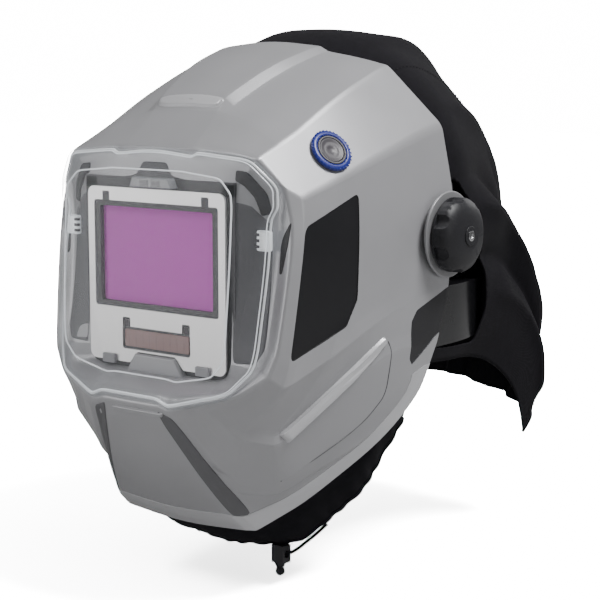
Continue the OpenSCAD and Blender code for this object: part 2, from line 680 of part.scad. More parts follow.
module manifold_block(grow) {
    translate([-manifold_w / 2 - grow, manifold_y - manifold_d / 2 - grow, duct_z - 2 - grow])
        cube([manifold_w + 2 * grow, manifold_d + 2 * grow, duct_h + 4 + 2 * grow]);
}
inlet_r = inlet_bore / 2;
inlet_wall = 3;
seal_r = 1.2;
inlet_z = duct_z - 2 - inlet_len;
module air_manifold() {
    w = 2.5;
    color([0.12, 0.12, 0.13])
    difference() {
        union() {
            manifold_block(0);
            translate([0, manifold_y, inlet_z]) cylinder(h = inlet_len + 1, r = inlet_r + inlet_wall, $fn = 96);
        }
        translate([-manifold_w / 2 + w, manifold_y - manifold_d / 2 + w, duct_z]) cube([manifold_w - 2 * w, manifold_d - 2 * w, duct_h]);
        translate([0, manifold_y, inlet_z - 1]) cylinder(h = inlet_len + 6, r = inlet_r, $fn = 96);
        both_sides() translate([0, 0, duct_z + duct_wall + 0.5]) linear_extrude(duct_h - 2 * duct_wall - 1)
            polygon(strip([DUCT_LINE[len(DUCT_LINE) - 2], last_of(DUCT_LINE) + [-6, 2]], duct_t / 2 - duct_wall - 0.4));
    }
}
module inlet_seal() {
    color([0.1, 0.1, 0.1])
    translate([0, manifold_y, inlet_z + 5]) rotate_extrude($fn = 64) translate([inlet_r + inlet_wall + seal_r + run_clear, 0]) circle(r = seal_r, $fn = 20);
}
module air_outlet_left() {
    color([0.2, 0.2, 0.22])
    difference() {
        translate([duct_x - duct_t / 2, -16, duct_z + 1]) cube([duct_t, 14, duct_h - 2]);
        for (k = [0 : 3]) translate([duct_x - duct_t / 2 + duct_wall, -20, duct_z + 4 + 8.4 * k]) cube([duct_t - 2 * duct_wall, 22, 5.8]);
    }
}
module air_outlet_right() { mirror([1, 0, 0]) air_outlet_left(); }
module duct_screws() {
    reach = 2 + tab_t + duct_wall;
    color([0.7, 0.7, 0.7])
    both_sides() at_duct_screws() translate([tab_x - tab_t - 2, 0, 0]) rotate([0, 90, 0]) rotate_extrude($fn = 32)
        polygon([[0, 0], [2.4, 0], [3.2, 0.8], [3.2, 2], [duct_screw_r, 2], [duct_screw_r, reach], [0, reach]]);
}

/* Strip inside the shell's rear edge that the shroud clips to: its band seen from the side, as y and z */
STRIP_BAND = [
    [-41, 132], [-38, 121], [-31, 113], [-21, 107], [-1, 70], [6, 24], [-6, 24], [-13, 66], [-34, 98],
        [-46, 108],
    [-54, 118], [-55, 132]
];
strip_gap = 0.4;
strip_t = 1.8;
module shroud_strip() {
    color([0.18, 0.18, 0.2])
    intersection() {
        shell_skin(-shell_wall - strip_gap, -shell_wall - strip_gap - strip_t);
        side_prism(STRIP_BAND, 0.1, 0, -side_reach, side_reach);
    }
}

/* Shroud: from the strip over the back of the head to the hem, crown first */
SHROUD = [
    [[0, -44, 118], [0, 4, 136], [0, 60, 134], [0, 115, 106], [0, 152, 45], [0, 164, -25], [0, 166, -90],
        [0, 160, -128]],
    [[38, -41, 113], [37, 2, 132], [38, 58, 130], [39, 112, 100], [38, 150, 40], [37, 163, -28],
        [37, 166, -90], [38, 161, -132]],
    [[76, -23, 101.5], [80, 12, 112], [72, 58, 103], [70, 104, 76], [68, 143, 24], [66, 158, -35],
        [66, 164, -90], [67, 157, -140]],
    [[106, -3, 66], [110, 25, 66], [100, 60, 56], [92, 96, 32], [90, 132, -8], [89, 152, -48],
        [89, 162, -95], [86, 150, -146]],
    [[111, 6, 15], [114, 36, 10], [108, 78, -8], [100, 112, -30], [97, 140, -55], [96, 156, -80],
        [95, 158, -106], [91, 145, -150]],
    [[110, -2, -45], [111, 32, -48], [106, 72, -60], [100, 104, -74], [98, 130, -90], [97, 146, -104],
        [95, 148, -122], [91, 140, -155]],
    [[106, -14, -86], [102, 28, -90], [97, 60, -92], [95, 85, -99], [95, 105, -112], [94, 120, -130],
        [92, 128, -148], [90, 134, -161]]
];
SHROUD_ROUND = [0.5, 0.5, 0.4, 0.5, 0.5, 0.5, 0];
SHROUD_ALONG = [0, 0.4, 0.5, 0.5, 0.5, 0.5, 0.5, 0];
shroud_t = 1.6;
function both_halves(half) = concat([for (i = [len(half) - 1 : -1 : 1]) [for (p = half[i]) mirror_x(p)]], half);
function both_shares(s) = concat([for (i = [len(s) - 1 : -1 : 1]) s[i]], s);
SHROUD_GRID = [for (r = both_halves(SHROUD)) [for (p = r) fit(p)]];
module shroud() {
    share = both_shares(SHROUD_ROUND);
    color([0.18, 0.18, 0.2])
    difference() {
        skin(rows_of(SHROUD_GRID, share, SHROUD_ALONG, false, 1),
             rows_of(shifted(SHROUD_GRID, -shroud_t, false, 1), share, SHROUD_ALONG, false, 1), false);
        both_sides() side_prism(SHROUD_GAP, 0.15, 0, 60, side_reach);
    }
}

/* Face seal: from inside the lip to the gathered hem, chin first */
SEAL = [
    [[0, -127, -178], [0, -118, -190], [0, -105, -199], [0, -92, -203]],
    [[30, -124, -178], [28, -114, -191], [27, -102, -200], [26, -88, -205]],
    [[56, -113, -172], [52, -102, -186], [50, -90, -197], [49, -78, -202]],
    [[74, -82, -154], [70, -76, -170], [68, -68, -182], [66, -60, -189]],
    [[92, -48, -128], [88, -44, -142], [85, -38, -153], [82, -32, -160]],
    [[101, -20, -104], [96, -17, -113], [91, -12, -120], [87, -8, -125]]
];
SEAL_ROUND = [0.5, 0.5, 0.5, 0.5, 0.5, 0];
seal_t = 1.6;
SEAL_GRID = [for (r = both_halves(SEAL)) [for (p = r) fit(p)]];
module face_seal() {
    share = both_shares(SEAL_ROUND);
    along = [0, 0.5, 0.5, 0];
    color([0.1, 0.1, 0.11])
    skin(rows_of(SEAL_GRID, share, along, false, 1), rows_of(shifted(SEAL_GRID, -seal_t, false, 1), share, along, false, 1), false);
}

/* Drawstring tail: leaves the hem, runs under it, through the lock and down to its end */
DRAW = [
    [66, -61.5, -191], [63, -65, -195], [60, -69, -199], [57, -73, -202.5], [54, -78, -206.5],
        [50.5, -81.8, -209.2],
    [47, -83, -210], [44, -83, -210], [41, -83, -210], [38.6, -83, -211], [37.4, -82.4, -213.2],
        [37.2, -81.4, -216],
    [37.8, -80.2, -218.8], [38.6, -79.2, -221.4]
];
cord_r = 1.2;
function cross_frame(t) = let (a = unit(cross(t, [0, 1, 0.2]))) [a, unit(cross(t, a))];
function ring_at(p, t, r, n) = let (f = cross_frame(t)) [for (k = [0 : n - 1]) p + r * (cos(360 * k / n) * f[0] + sin(360 * k / n) * f[1])];
module sweep(path, r, n) {
    m = len(path);
    points = [for (i = [0 : m - 1]) each ring_at(path[i], unit(path[min(i + 1, m - 1)] - path[max(i - 1, 0)]), r, n)];
    walls = [for (i = [0 : m - 2], k = [0 : n - 1]) let (l = (k + 1) % n)
        each [[i * n + k, (i + 1) * n + l, i * n + l], [i * n + k, (i + 1) * n + k, (i + 1) * n + l]]];
    ends = [[for (k = [0 : n - 1]) k], [for (k = [n - 1 : -1 : 0]) (m - 1) * n + k]];
    polyhedron(points, concat(walls, ends), convexity = 4);
}
module drawstring() {
    color([0.06, 0.06, 0.07])
    sweep(DRAW, cord_r, 8);
}
LOCK_AT = [44, -83, -210];
lock_bore = 2.6;
plunger_r = 2.5;
module cord_lock() {
    color([0.08, 0.08, 0.09])
    translate(LOCK_AT) difference() {
        translate([-5, -4, -6]) cube([10, 8, 12]);
        rotate([0, 90, 0]) cylinder(h = 30, r = lock_bore, center = true, $fn = 32);
        translate([0, 0, -7]) cylinder(h = 7, r = plunger_r + 0.1, $fn = 32);
    }
}
module cord_lock_plunger() {
    color([0.12, 0.12, 0.13])
    translate(LOCK_AT + [0, 0, -9]) cylinder(h = 5.6, r = plunger_r, $fn = 32);
}
module cord_end() {
    color([0.08, 0.08, 0.09])
    translate(last_of(DRAW) + [0.8, 1, -2.9]) sphere(r = 3.2, $fn = 32);
}

shell();
front_cover_lens();
cover_latch();
filter_housing();
filter_bezel();
face_plate();
filter_glass();
solar_cell();
arc_sensors();
retaining_clips();
inner_cover_plate();
circuit_board();
batteries();
button_power();
button_mode();
button_up();
side_window_left();
side_window_right();
rear_trim_left();
rear_trim_right();
button_collar();
button_ring();
grind_button();
button_spring();
pivot_boss_left();
pivot_boss_right();
knob_left();
knob_right();
knob_cap_left();
knob_cap_right();
pivot_stud_left();
pivot_stud_right();
friction_washers();
pivot_plate_left();
pivot_plate_right();
headband();
brow_pad();
crown_straps();
rear_cradle();
rear_pad();
ratchet_housing();
ratchet_knob();
air_manifold();
inlet_seal();
air_duct_left();
air_duct_right();
air_outlet_left();
air_outlet_right();
duct_screws();
shroud_strip();
shroud();
face_seal();
drawstring();
cord_lock();
cord_lock_plunger();
cord_end();
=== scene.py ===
"""Looks of the head top of a powered air respirator: a welding shield with cover, filter, knobs and cloth.

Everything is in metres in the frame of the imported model: origin midway between the head pivots, +Z up, the
wearer looks along -Y and the wearer's left is +X. Lines below are written in millimetres and scaled once.
"""

import logging
import math
from dataclasses import dataclass, field
from enum import Enum
from typing import Callable, Iterable, Sequence

import bmesh
import bpy
import numpy as np
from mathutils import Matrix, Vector
from mathutils.bvhtree import BVHTree


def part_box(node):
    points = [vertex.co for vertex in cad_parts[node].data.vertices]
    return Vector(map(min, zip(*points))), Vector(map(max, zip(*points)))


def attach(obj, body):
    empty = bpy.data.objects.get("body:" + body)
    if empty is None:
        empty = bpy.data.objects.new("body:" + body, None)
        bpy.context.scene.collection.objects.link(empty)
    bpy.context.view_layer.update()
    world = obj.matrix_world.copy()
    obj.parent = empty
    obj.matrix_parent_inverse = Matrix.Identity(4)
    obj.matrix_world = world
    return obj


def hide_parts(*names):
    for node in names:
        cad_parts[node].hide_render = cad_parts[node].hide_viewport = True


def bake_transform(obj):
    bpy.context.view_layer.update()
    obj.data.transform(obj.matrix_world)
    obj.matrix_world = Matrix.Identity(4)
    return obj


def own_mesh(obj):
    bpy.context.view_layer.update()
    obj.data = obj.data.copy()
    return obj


logging.basicConfig(level=logging.INFO, format="%(name)s: %(message)s")
LOG = logging.getLogger("head_top")

MM = 0.001
MERGE = 2e-6
Point = tuple[float, float, float]
SIDES = (("left", 1), ("right", -1))

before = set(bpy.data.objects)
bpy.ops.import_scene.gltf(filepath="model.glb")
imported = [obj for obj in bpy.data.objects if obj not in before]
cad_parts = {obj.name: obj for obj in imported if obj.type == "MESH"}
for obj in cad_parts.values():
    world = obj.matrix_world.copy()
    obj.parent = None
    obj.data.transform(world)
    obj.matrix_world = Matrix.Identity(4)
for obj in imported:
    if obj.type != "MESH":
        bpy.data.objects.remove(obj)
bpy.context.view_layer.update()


class Body(str, Enum):
    """The bodies of the frame that pieces ride on."""

    HEADGEAR = "headgear"
    HELMET = "helmet"
    CRADLE = "rear_cradle_slide"
    RATCHET = "ratchet"
    GRIND = "grind_cap"
    KNOB_LEFT = "knob_left_turn"
    KNOB_RIGHT = "knob_right_turn"
    LOCK = "lock_plunger"


# --------------------------------------------------------------------------------------------------
# Lines of the object, in millimetres, on the wearer's left half


SHELL_LINES: dict[str, list[Point]] = {
    "crown_centre": [(0, -150, 37), (0, -148, 55), (0, -149, 60), (0, -126, 80), (0, -117, 92),
        (0, -82, 113), (0, -46, 124.5), (0, -39, 126)],
    "crown_panel_edge": [(24, -150, 37), (27, -148, 55), (28, -149, 60), (27, -125, 80), (27, -116, 91),
        (34, -80, 110.5), (39, -43, 121), (40, -36, 122)],
    "crown_panel_foot": [(36, -150, 37), (38, -148, 54), (40, -149, 59), (34, -124, 79.5), (34, -115, 85),
        (41, -79, 104.5), (45, -42, 117), (46, -35, 118.5)],
    "roof": [(52, -150, 37), (57, -147, 53), (59, -148.5, 58), (58, -124, 74), (58, -112, 79.5),
        (62, -75, 98.5), (65, -35, 113), (66, -28, 114.5)],
    "upper_crease": [(58, -150, 34), (73, -146, 49), (78, -148, 55), (79, -126, 64), (80, -110, 71),
        (81, -70, 91.5), (81, -26, 107.5), (81, -17, 109.5)],
    "side_crease": [(60.5, -150, 24), (86, -139, 32), (92, -139, 38), (100, -131, 31), (103, -105, 39),
        (107, -65, 52), (110.5, -7, 69.5), (111, 2, 71)],
    "side_upper": [(60.5, -150, 8), (85, -138, 12), (99, -139, 13), (103, -132, 12), (106, -108, 14),
        (110, -65, 16), (116, 0, 20), (116.5, 10, 21)],
    "side_middle": [(60.5, -150, -20), (85, -140, -20), (98, -144, -20), (102, -137, -20),
        (107, -100, -18), (112, -55, -15), (117, 0, -5), (117.5, 10, -5)],
    "side_lower": [(60.5, -151, -50), (83, -146, -55), (95, -150, -62), (100, -142, -66), (107, -97, -48),
        (112, -58, -36), (116.5, -5, -24), (116.5, 5, -22)],
    "cheek_crease": [(60.5, -152, -70), (80, -152, -71), (91, -154, -75), (97, -145, -83),
        (108, -107, -65), (113.5, -60, -45), (116, -4, -35), (116, 5, -33)],
    "cheek_band": [(57, -152, -80), (69, -161, -83), (73, -166, -89), (86, -148, -98), (97, -120, -92),
        (113, -61, -54), (115, -6, -50), (115, 3, -49)],
    "cheek_panel_edge": [(48, -153, -82), (57, -166, -87), (60, -170, -93), (72, -155, -110),
        (83, -134, -116), (112.5, -63, -61), (113.5, -9, -62), (113.5, 0, -61)],
    "cheek_panel_foot": [(43, -153, -82), (52, -168, -88), (55, -171.5, -95), (70, -156, -116),
        (84, -134.5, -122), (113.5, -62, -68), (112.5, -12, -73), (112.5, -3, -72)],
    "cheek_panel_lower_line": [(38, -153, -82), (46, -170, -89), (48, -173.5, -97), (62, -151, -130),
        (76, -122, -149), (106, -54, -106), (109.5, -16, -89), (110, -9, -88)],
    "rear_corner_of_the_lip": [(33, -153, -82), (41, -172, -90), (43, -175.5, -98.5), (58, -150, -136),
        (73, -119, -155), (101, -54, -121), (107.5, -23, -100), (107, -17, -107)],
    "lip_side": [(29, -153, -82), (36, -173, -91), (38, -177, -99.5), (53, -152, -140), (68, -120, -161),
        (92, -71, -137), (98.5, -54, -127), (97, -48, -134.5)],
    "lip_front": [(25, -153, -82), (32, -174, -91), (34, -178, -100.5), (47, -154, -137), (56, -137, -157),
        (66, -117, -163), (74, -101, -160), (73, -94, -167.5)],
    "chin_strip_foot": [(22, -153, -82), (29, -174, -91), (31, -178.5, -100), (40, -163, -126),
        (46, -152, -145), (52, -140, -164), (56, -132, -175), (57, -124, -182.5)],
    "chin_strip_edge": [(17, -153, -82), (20, -175, -90), (23, -179, -97.5), (28, -174, -110),
        (38, -159, -139), (44, -147, -160), (50, -136, -175), (50, -128, -182.5)],
    "chin_centre": [(0, -153, -82), (0, -175, -90), (0, -179.5, -97.5), (0, -175.5, -108), (0, -162, -138),
        (0, -150, -161), (0, -140, -178), (0, -131, -185.5)],
}

# Share of each leg that the round at a line takes up: small on a crease, a half where the skin is smooth
SHELL_ROUND = [0.5, 0.12, 0.12, 0.4, 0.08, 0.09, 0.5, 0.5, 0.3, 0.08, 0.4, 0.12, 0.12, 0.15, 0.5, 0.4, 0.3,
               0.12, 0.12, 0.5]
# The same from the viewport to the rim
SHELL_ALONG = [0, 0.25, 0.2, 0.16, 0.18, 0.5, 0.3, 0]

WINDOW_OUTLINE = [(-132, 14), (-84, 32), (-87, -34), (-97, -50), (-143, -67)]
TRIM_OUTLINE = [(14, -33), (2, -36), (-30, -47), (-35, -54), (-33.5, -79), (-29, -84), (-6, -68), (6, -62)]

COVER_RIM: list[Point] = [
    (0, -152.7, 58), (31, -152.9, 54.8), (36.5, -152.4, 57.2), (75, -150.7, 54), (89, -142.2, 38),
    (89.5, -142.2, 26), (85, -143.2, 18), (86.5, -147.2, -9), (83, -155.7, -70), (70, -166.7, -86.5),
    (33, -179.2, -96.5), (23, -179.7, -92.5), (0, -179.7, -92.5),
]
COVER_PANE = [
    (0, 46), (30, 46), (34, 45.5), (60, 43), (69, 34), (70, 26), (70, 16), (70, -9), (68, -66), (58, -77),
    (30, -83), (21, -82), (0, -82),
]
COVER_ROUND = [0.5, 0.2, 0.2, 0.2, 0.25, 0.25, 0.25, 0.4, 0.25, 0.2, 0.2, 0.2, 0.5]

SHROUD_LINES: list[list[Point]] = [
    [(0, -44, 118), (0, 4, 136), (0, 60, 134), (0, 115, 106), (0, 152, 45), (0, 164, -25), (0, 166, -90),
     (0, 160, -128)],
    [(38, -41, 113), (37, 2, 132), (38, 58, 130), (39, 112, 100), (38, 150, 40), (37, 163, -28),
     (37, 166, -90), (38, 161, -132)],
    [(76, -23, 101.5), (80, 12, 112), (72, 58, 103), (70, 104, 76), (68, 143, 24), (66, 158, -35),
     (66, 164, -90), (67, 157, -140)],
    [(106, -3, 66), (110, 25, 66), (100, 60, 56), (92, 96, 32), (90, 132, -8), (89, 152, -48),
     (89, 162, -95), (86, 150, -146)],
    [(111, 6, 15), (114, 36, 10), (108, 78, -8), (100, 112, -30), (97, 140, -55), (96, 156, -80),
     (95, 158, -106), (91, 145, -150)],
    [(110, -2, -45), (111, 32, -48), (106, 72, -60), (100, 104, -74), (98, 130, -90), (97, 146, -104),
     (95, 148, -122), (91, 140, -155)],
    [(106, -14, -86), (102, 28, -90), (97, 60, -92), (95, 85, -99), (95, 105, -112), (94, 120, -130),
     (92, 128, -148), (90, 134, -161)],
]
SHROUD_GAP = [(-20, 38), (22, 34), (50, 2), (68, -30), (70, -60), (62, -82), (20, -80), (-20, -74)]

SEAL_LINES: list[list[Point]] = [
    [(0, -127, -178), (0, -118, -190), (0, -105, -199), (0, -92, -203)],
    [(30, -124, -178), (28, -114, -191), (27, -102, -200), (26, -88, -205)],
    [(56, -113, -172), (52, -102, -186), (50, -90, -197), (49, -78, -202)],
    [(74, -82, -154), (70, -76, -170), (68, -68, -182), (66, -60, -189)],
    [(92, -48, -128), (88, -44, -142), (85, -38, -153), (82, -32, -160)],
    [(101, -20, -104), (96, -17, -113), (91, -12, -120), (87, -8, -125)],
]

DRAWSTRING: list[Point] = [
    (66, -61.5, -191), (63, -65, -195), (60, -69, -199), (57, -73, -202.5), (54, -78, -206.5),
    (50.5, -81.8, -209.2), (47, -83, -210), (44, -83, -210), (41, -83, -210), (38.6, -83, -211),
    (37.4, -82.4, -213.2), (37.2, -81.4, -216), (37.8, -80.2, -218.8), (38.6, -79.2, -221.4),
]
CORD_RADIUS = 1.2

# Ridge on the cheek and the line below it, seen from the side
RIDGE_OUTLINE = [(-62, -59.5), (-56.5, -65.5), (-128, -121), (-134, -114.5)]
RIDGE_SHARE = [0.2, 0.3, 0.05, 0.05]
CHEEK_LINE = [(-57, -64), (-54, -70), (-52, -100), (-66, -116), (-84, -128), (-122, -148)]
CHEEK_LINE_SHARE = [0, 0.5, 0.3, 0.4, 0.4, 0]
# Liner beside the cartridge, and dark patches of painted shade for the groove at its corner and the channel
# beside the cover, seen from the front
LINER_OUTLINE = [(61.5, 29), (72, 26), (83.5, 14), (84, -60), (79, -69), (61.5, -70)]
GROOVE_OUTLINE = [(61.5, 47.5), (70.5, 46.5), (81, 34), (83.5, 22), (77, 20), (74, 30), (66, 39.5),
                  (61.5, 41)]
CHANNEL_SHADE_OUTLINE = [(89.5, 6), (97.5, 19), (96, 6), (92, -14), (89, -14)]
STRIP_OUTLINE = [(21.5, -100), (34, -104.5), (58, -170.5), (49, -171.5)]
# Front of the crown panel, seen from above, and the first line that has a rolled lip
CROWN_LIP = [(-28, -116.5), (-25, -123), (25, -123), (29, -116.5)]
LIP_FROM = 13
HUMP_OUTLINE = [(-30, 39.5), (-19, 42), (-14, 50), (6, 50), (11, 42), (24, 39.5)]

BUTTON_AT = (93.8, -96.5, 57.2)
BUTTON_NORMAL = Vector((0.803, -0.25, 0.541)).normalized()


# --------------------------------------------------------------------------------------------------
# Shape helpers


def mirrored(point: Sequence[float]) -> Point:
    """The point on the other side of the middle plane."""
    return (-point[0], point[1], point[2])


def closed_half(lines: Sequence[Sequence[Point]]) -> np.ndarray:
    """Joins a half, crown first and chin last, with its mirror image into a closed set of lines."""
    other = [[mirrored(p) for p in line] for line in reversed(lines[1:-1])]
    return np.array([*lines, *other], float)


def open_half(lines: Sequence[Sequence[Point]]) -> np.ndarray:
    """Joins a half, middle line first, with its mirror image into a set that runs from side to side."""
    other = [[mirrored(p) for p in line] for line in reversed(lines[1:])]
    return np.array([*other, *lines], float)


def corner(a: np.ndarray, b: np.ndarray, c: np.ndarray, share: float, steps: int) -> list[np.ndarray]:
    """Rounds the corner b between a and c.

    Args:
        a: Point before the corner.
        b: The corner.
        c: Point after the corner.
        share: Share of each leg that the round takes up.
        steps: Steps across the round.

    Returns:
        steps + 1 points on a parabola that meets both legs.
    """
    start, end = b + (a - b) * share, b + (c - b) * share
    return [start * (1 - t) ** 2 + b * 2 * t * (1 - t) + end * t * t for t in np.linspace(0, 1, steps + 1)]


def round_open(points: np.ndarray, share: Sequence[float], steps: int) -> np.ndarray:
    """An open line with its inner corners rounded."""
    inner = [q for i in range(1, len(points) - 1)
             for q in corner(points[i - 1], points[i], points[i + 1], share[i], steps)]
    return np.array([points[0], *inner, points[-1]])


def round_loop(points: np.ndarray, share: Sequence[float], steps: int) -> np.ndarray:
    """A closed loop with its corners rounded."""
    count = len(points)
    return np.array([q for i in range(count)
                     for q in corner(points[i - 1], points[i], points[(i + 1) % count], share[i], steps)])


def outward(grid: np.ndarray, loop: bool) -> np.ndarray:
    """Unit normals of a grid of lines by stations, closed across the lines when loop is true."""
    if loop:
        across = np.roll(grid, -1, 0) - np.roll(grid, 1, 0)
    else:
        padded = np.concatenate([grid[:1], grid, grid[-1:]])
        across = padded[2:] - padded[:-2]
    ends = np.concatenate([grid[:, :1], grid, grid[:, -1:]], 1)
    normal = np.cross(across, ends[:, 2:] - ends[:, :-2])
    return normal / np.maximum(np.linalg.norm(normal, axis=2, keepdims=True), 1e-9)


def rows_of(grid: np.ndarray, across: Sequence[float], along: Sequence[float], loop: bool,
            steps: int) -> np.ndarray:
    """Rounds a grid of lines both ways.

    Args:
        grid: Lines by stations by xyz, in millimetres.
        across: Round shares across the lines.
        along: Round shares along each line.
        loop: Whether the lines close on themselves.
        steps: Steps in each round.

    Returns:
        Rows from the first station to the last, each a line across.
    """
    lines = np.array([round_open(line, along, steps) for line in grid])
    bend = round_loop if loop else round_open
    return np.array([bend(lines[:, j], across, steps) for j in range(lines.shape[1])])


def sheet_normals(rows: np.ndarray) -> np.ndarray:
    """Unit normals of the rows of an open sheet."""
    return outward(rows.transpose(1, 0, 2), False).transpose(1, 0, 2)


def run_along(line: np.ndarray) -> np.ndarray:
    """Distance of each point of a line from its start, along the line."""
    return np.concatenate([[0], np.cumsum(np.linalg.norm(np.diff(line, axis=0), axis=1))])


def even_rows(rows: np.ndarray, count: int) -> np.ndarray:
    """Resamples each row to evenly spaced points."""
    out = []
    for row in rows:
        run = run_along(row)
        out.append(np.array([np.interp(np.linspace(0, run[-1], count), run, row[:, k]) for k in range(3)]).T)
    return np.array(out)


def even_loop(loop: np.ndarray, count: int) -> np.ndarray:
    """A closed flat loop resampled to evenly spaced points."""
    closed = np.concatenate([loop, loop[:1]])
    run = run_along(closed)
    at = np.linspace(0, run[-1], count, endpoint=False)
    return np.stack([np.interp(at, run, closed[:, k]) for k in range(closed.shape[1])], 1)


def ring_points(radius: float, count: int) -> list[tuple[float, float]]:
    """Evenly spaced points on a circle round the origin."""
    return [(radius * math.cos(a), radius * math.sin(a)) for a in np.linspace(0, math.tau, count, False)]


def grid_faces(rows: int, columns: int, loop: bool, flip: bool = False) -> list[tuple[int, ...]]:
    """Quads of a grid of points that is stored row by row."""
    faces = []
    for i in range(rows - 1):
        for j in range(columns if loop else columns - 1):
            k = (j + 1) % columns
            quad = (i * columns + j, (i + 1) * columns + j, (i + 1) * columns + k, i * columns + k)
            faces.append(quad[::-1] if flip else quad)
    return faces


def linked(name: str, data: bpy.types.ID) -> bpy.types.Object:
    """A new object in the scene, at the origin, that holds the data."""
    piece = bpy.data.objects.new(name, data)
    bpy.context.collection.objects.link(piece)
    return piece


def mesh_piece(name: str, points: Iterable[Sequence[float]], faces: Iterable[Sequence[int]],
               scale: float = MM, smooth_angle: float | None = 40.0) -> bpy.types.Object:
    """Makes a mesh object in the scene.

    Args:
        name: The piece's name.
        points: Its points.
        faces: Its faces.
        scale: Metres per unit of the points.
        smooth_angle: Edges sharper than this many degrees stay sharp; None leaves it flat.

    Returns:
        The new object, at the origin.
    """
    data = bpy.data.meshes.new(name)
    data.from_pydata([tuple(float(v) * scale for v in p) for p in points], [], [tuple(f) for f in faces])
    data.update()
    piece = linked(name, data)
    if smooth_angle is not None:
        smooth(piece, smooth_angle)
    return piece


def smooth(piece: bpy.types.Object, angle: float = 40.0) -> None:
    """Shades a mesh smooth, with edges sharper than angle degrees left sharp."""
    data = piece.data
    data.shade_smooth()
    data.set_sharp_from_angle(angle=math.radians(angle))


def settle(piece: bpy.types.Object) -> bpy.types.Object:
    """Turns a piece with modifiers into a plain mesh."""
    graph = bpy.context.evaluated_depsgraph_get()
    data = bpy.data.meshes.new_from_object(piece.evaluated_get(graph), preserve_all_data_layers=True,
                                           depsgraph=graph)
    piece.modifiers.clear()
    if piece.type != "MESH":
        fresh = linked(piece.name, data)
        bpy.data.objects.remove(piece)
        return fresh
    piece.data = data
    return piece


def skin_piece(name: str, outer: np.ndarray, inner: np.ndarray, loop: bool,
               angle: float = 40.0) -> bpy.types.Object:
    """A closed skin between two grids of rows."""
    rows, columns = outer.shape[:2]
    base = rows * columns
    faces = grid_faces(rows, columns, loop, flip=True)
    faces += [tuple(i + base for i in f[::-1]) for f in faces]
    last = (rows - 1) * columns
    for j in range(columns if loop else columns - 1):
        k = (j + 1) % columns
        faces += [(j, base + j, base + k, k), (last + j, last + k, base + last + k, base + last + j)]
    if not loop:
        for i in range(rows - 1):
            a, b = i * columns, (i + 1) * columns
            c, d = a + columns - 1, b + columns - 1
            faces += [(a, b, base + b, base + a), (c, base + c, base + d, d)]
    points = np.concatenate([outer.reshape(-1, 3), inner.reshape(-1, 3)])
    return mesh_piece(name, points, faces, smooth_angle=angle)


def block_between(name: str, first: Sequence[Sequence[float]], second: Sequence[Sequence[float]]
                  ) -> bpy.types.Object:
    """A closed block between two outlines with the same number of points, in millimetres."""
    count = len(first)
    faces = [tuple(range(count)), tuple(range(2 * count - 1, count - 1, -1))]
    faces += [(i, i + count, (i + 1) % count + count, (i + 1) % count) for i in range(count)]
    block = mesh_piece(name, [*first, *second], faces, smooth_angle=None)
    turned_out(block)
    return block


def prism(outline: Sequence[Sequence[float]], low: float, high: float) -> bpy.types.Object:
    """A prism along X over an outline of y and z, in millimetres."""
    return block_between("tool", *([(x, y, z) for y, z in outline] for x in (low, high)))


def disc_tool(at: Sequence[float], along: Vector, radius: float, low: float, high: float) -> bpy.types.Object:
    """A cylinder along a direction, in millimetres, from low to high past a point."""
    turn = along.to_track_quat("Z", "Y").to_matrix()
    return block_between("tool", *([Vector(at) + turn @ Vector((x, y, h)) for x, y in ring_points(radius, 64)]
                                   for h in (low, high)))


def turned_out(piece: bpy.types.Object) -> None:
    """Turns a closed mesh's faces outwards."""
    work = bmesh.new()
    work.from_mesh(piece.data)
    bmesh.ops.recalc_face_normals(work, faces=work.faces)
    work.to_mesh(piece.data)
    work.free()


def cut(piece: bpy.types.Object, tools: Sequence[bpy.types.Object], keep: bool = False) -> None:
    """Cuts the tools out of a piece, or keeps only what is inside them, and removes the tools."""
    for tool in tools:
        step = piece.modifiers.new("cut", "BOOLEAN")
        step.operation = "INTERSECT" if keep else "DIFFERENCE"
        step.solver = "EXACT"
        step.object = tool
    settle(piece)
    for tool in tools:
        bpy.data.objects.remove(tool)


def side_outline(points: Sequence[tuple[float, float]], share: float, grow: float,
                 steps: int = 6) -> np.ndarray:
    """The rounded outline of a side panel, grown from its middle by some millimetres."""
    base = np.array(points, float)
    middle = base.mean(0)
    arms = base - middle
    grown = middle + arms * (1 + grow / np.linalg.norm(arms, axis=1, keepdims=True))
    return round_loop(grown, [share] * len(base), steps)


def tube(name: str, path: Sequence[Sequence[float]], radius: float, sides: int = 8, closed: bool = False,
         scale: float = MM) -> bpy.types.Object:
    """A round bead swept along a path.

    Args:
        name: The piece's name.
        path: Points of its middle line.
        radius: Its radius in the path's unit.
        sides: Points in each ring.
        closed: Whether the path closes on itself.
        scale: Metres per unit.

    Returns:
        The bead as a mesh.
    """
    line = np.array(path, float)
    count = len(line)
    if closed:
        tangent = np.roll(line, -1, 0) - np.roll(line, 1, 0)
    else:
        ends = np.concatenate([line[:1], line, line[-1:]])
        tangent = ends[2:] - ends[:-2]
    tangent /= np.linalg.norm(tangent, axis=1, keepdims=True)
    side = np.cross(tangent[0], (0.13, 0.21, 1.0))
    points = []
    for i in range(count):
        side = side - tangent[i] * np.dot(side, tangent[i])
        side /= np.linalg.norm(side)
        up = np.cross(tangent[i], side)
        points += [line[i] + radius * (math.cos(a) * side + math.sin(a) * up)
                   for a in np.linspace(0, math.tau, sides, endpoint=False)]
    faces = grid_faces(count + 1 if closed else count, sides, True, flip=True)
    if closed:
        faces = [tuple(i % (count * sides) for i in f) for f in faces]
    else:
        faces += [tuple(range(sides)), tuple(reversed(range((count - 1) * sides, count * sides)))]
    piece = mesh_piece(name, points, faces, scale, 60.0)
    turned_out(piece)
    return piece


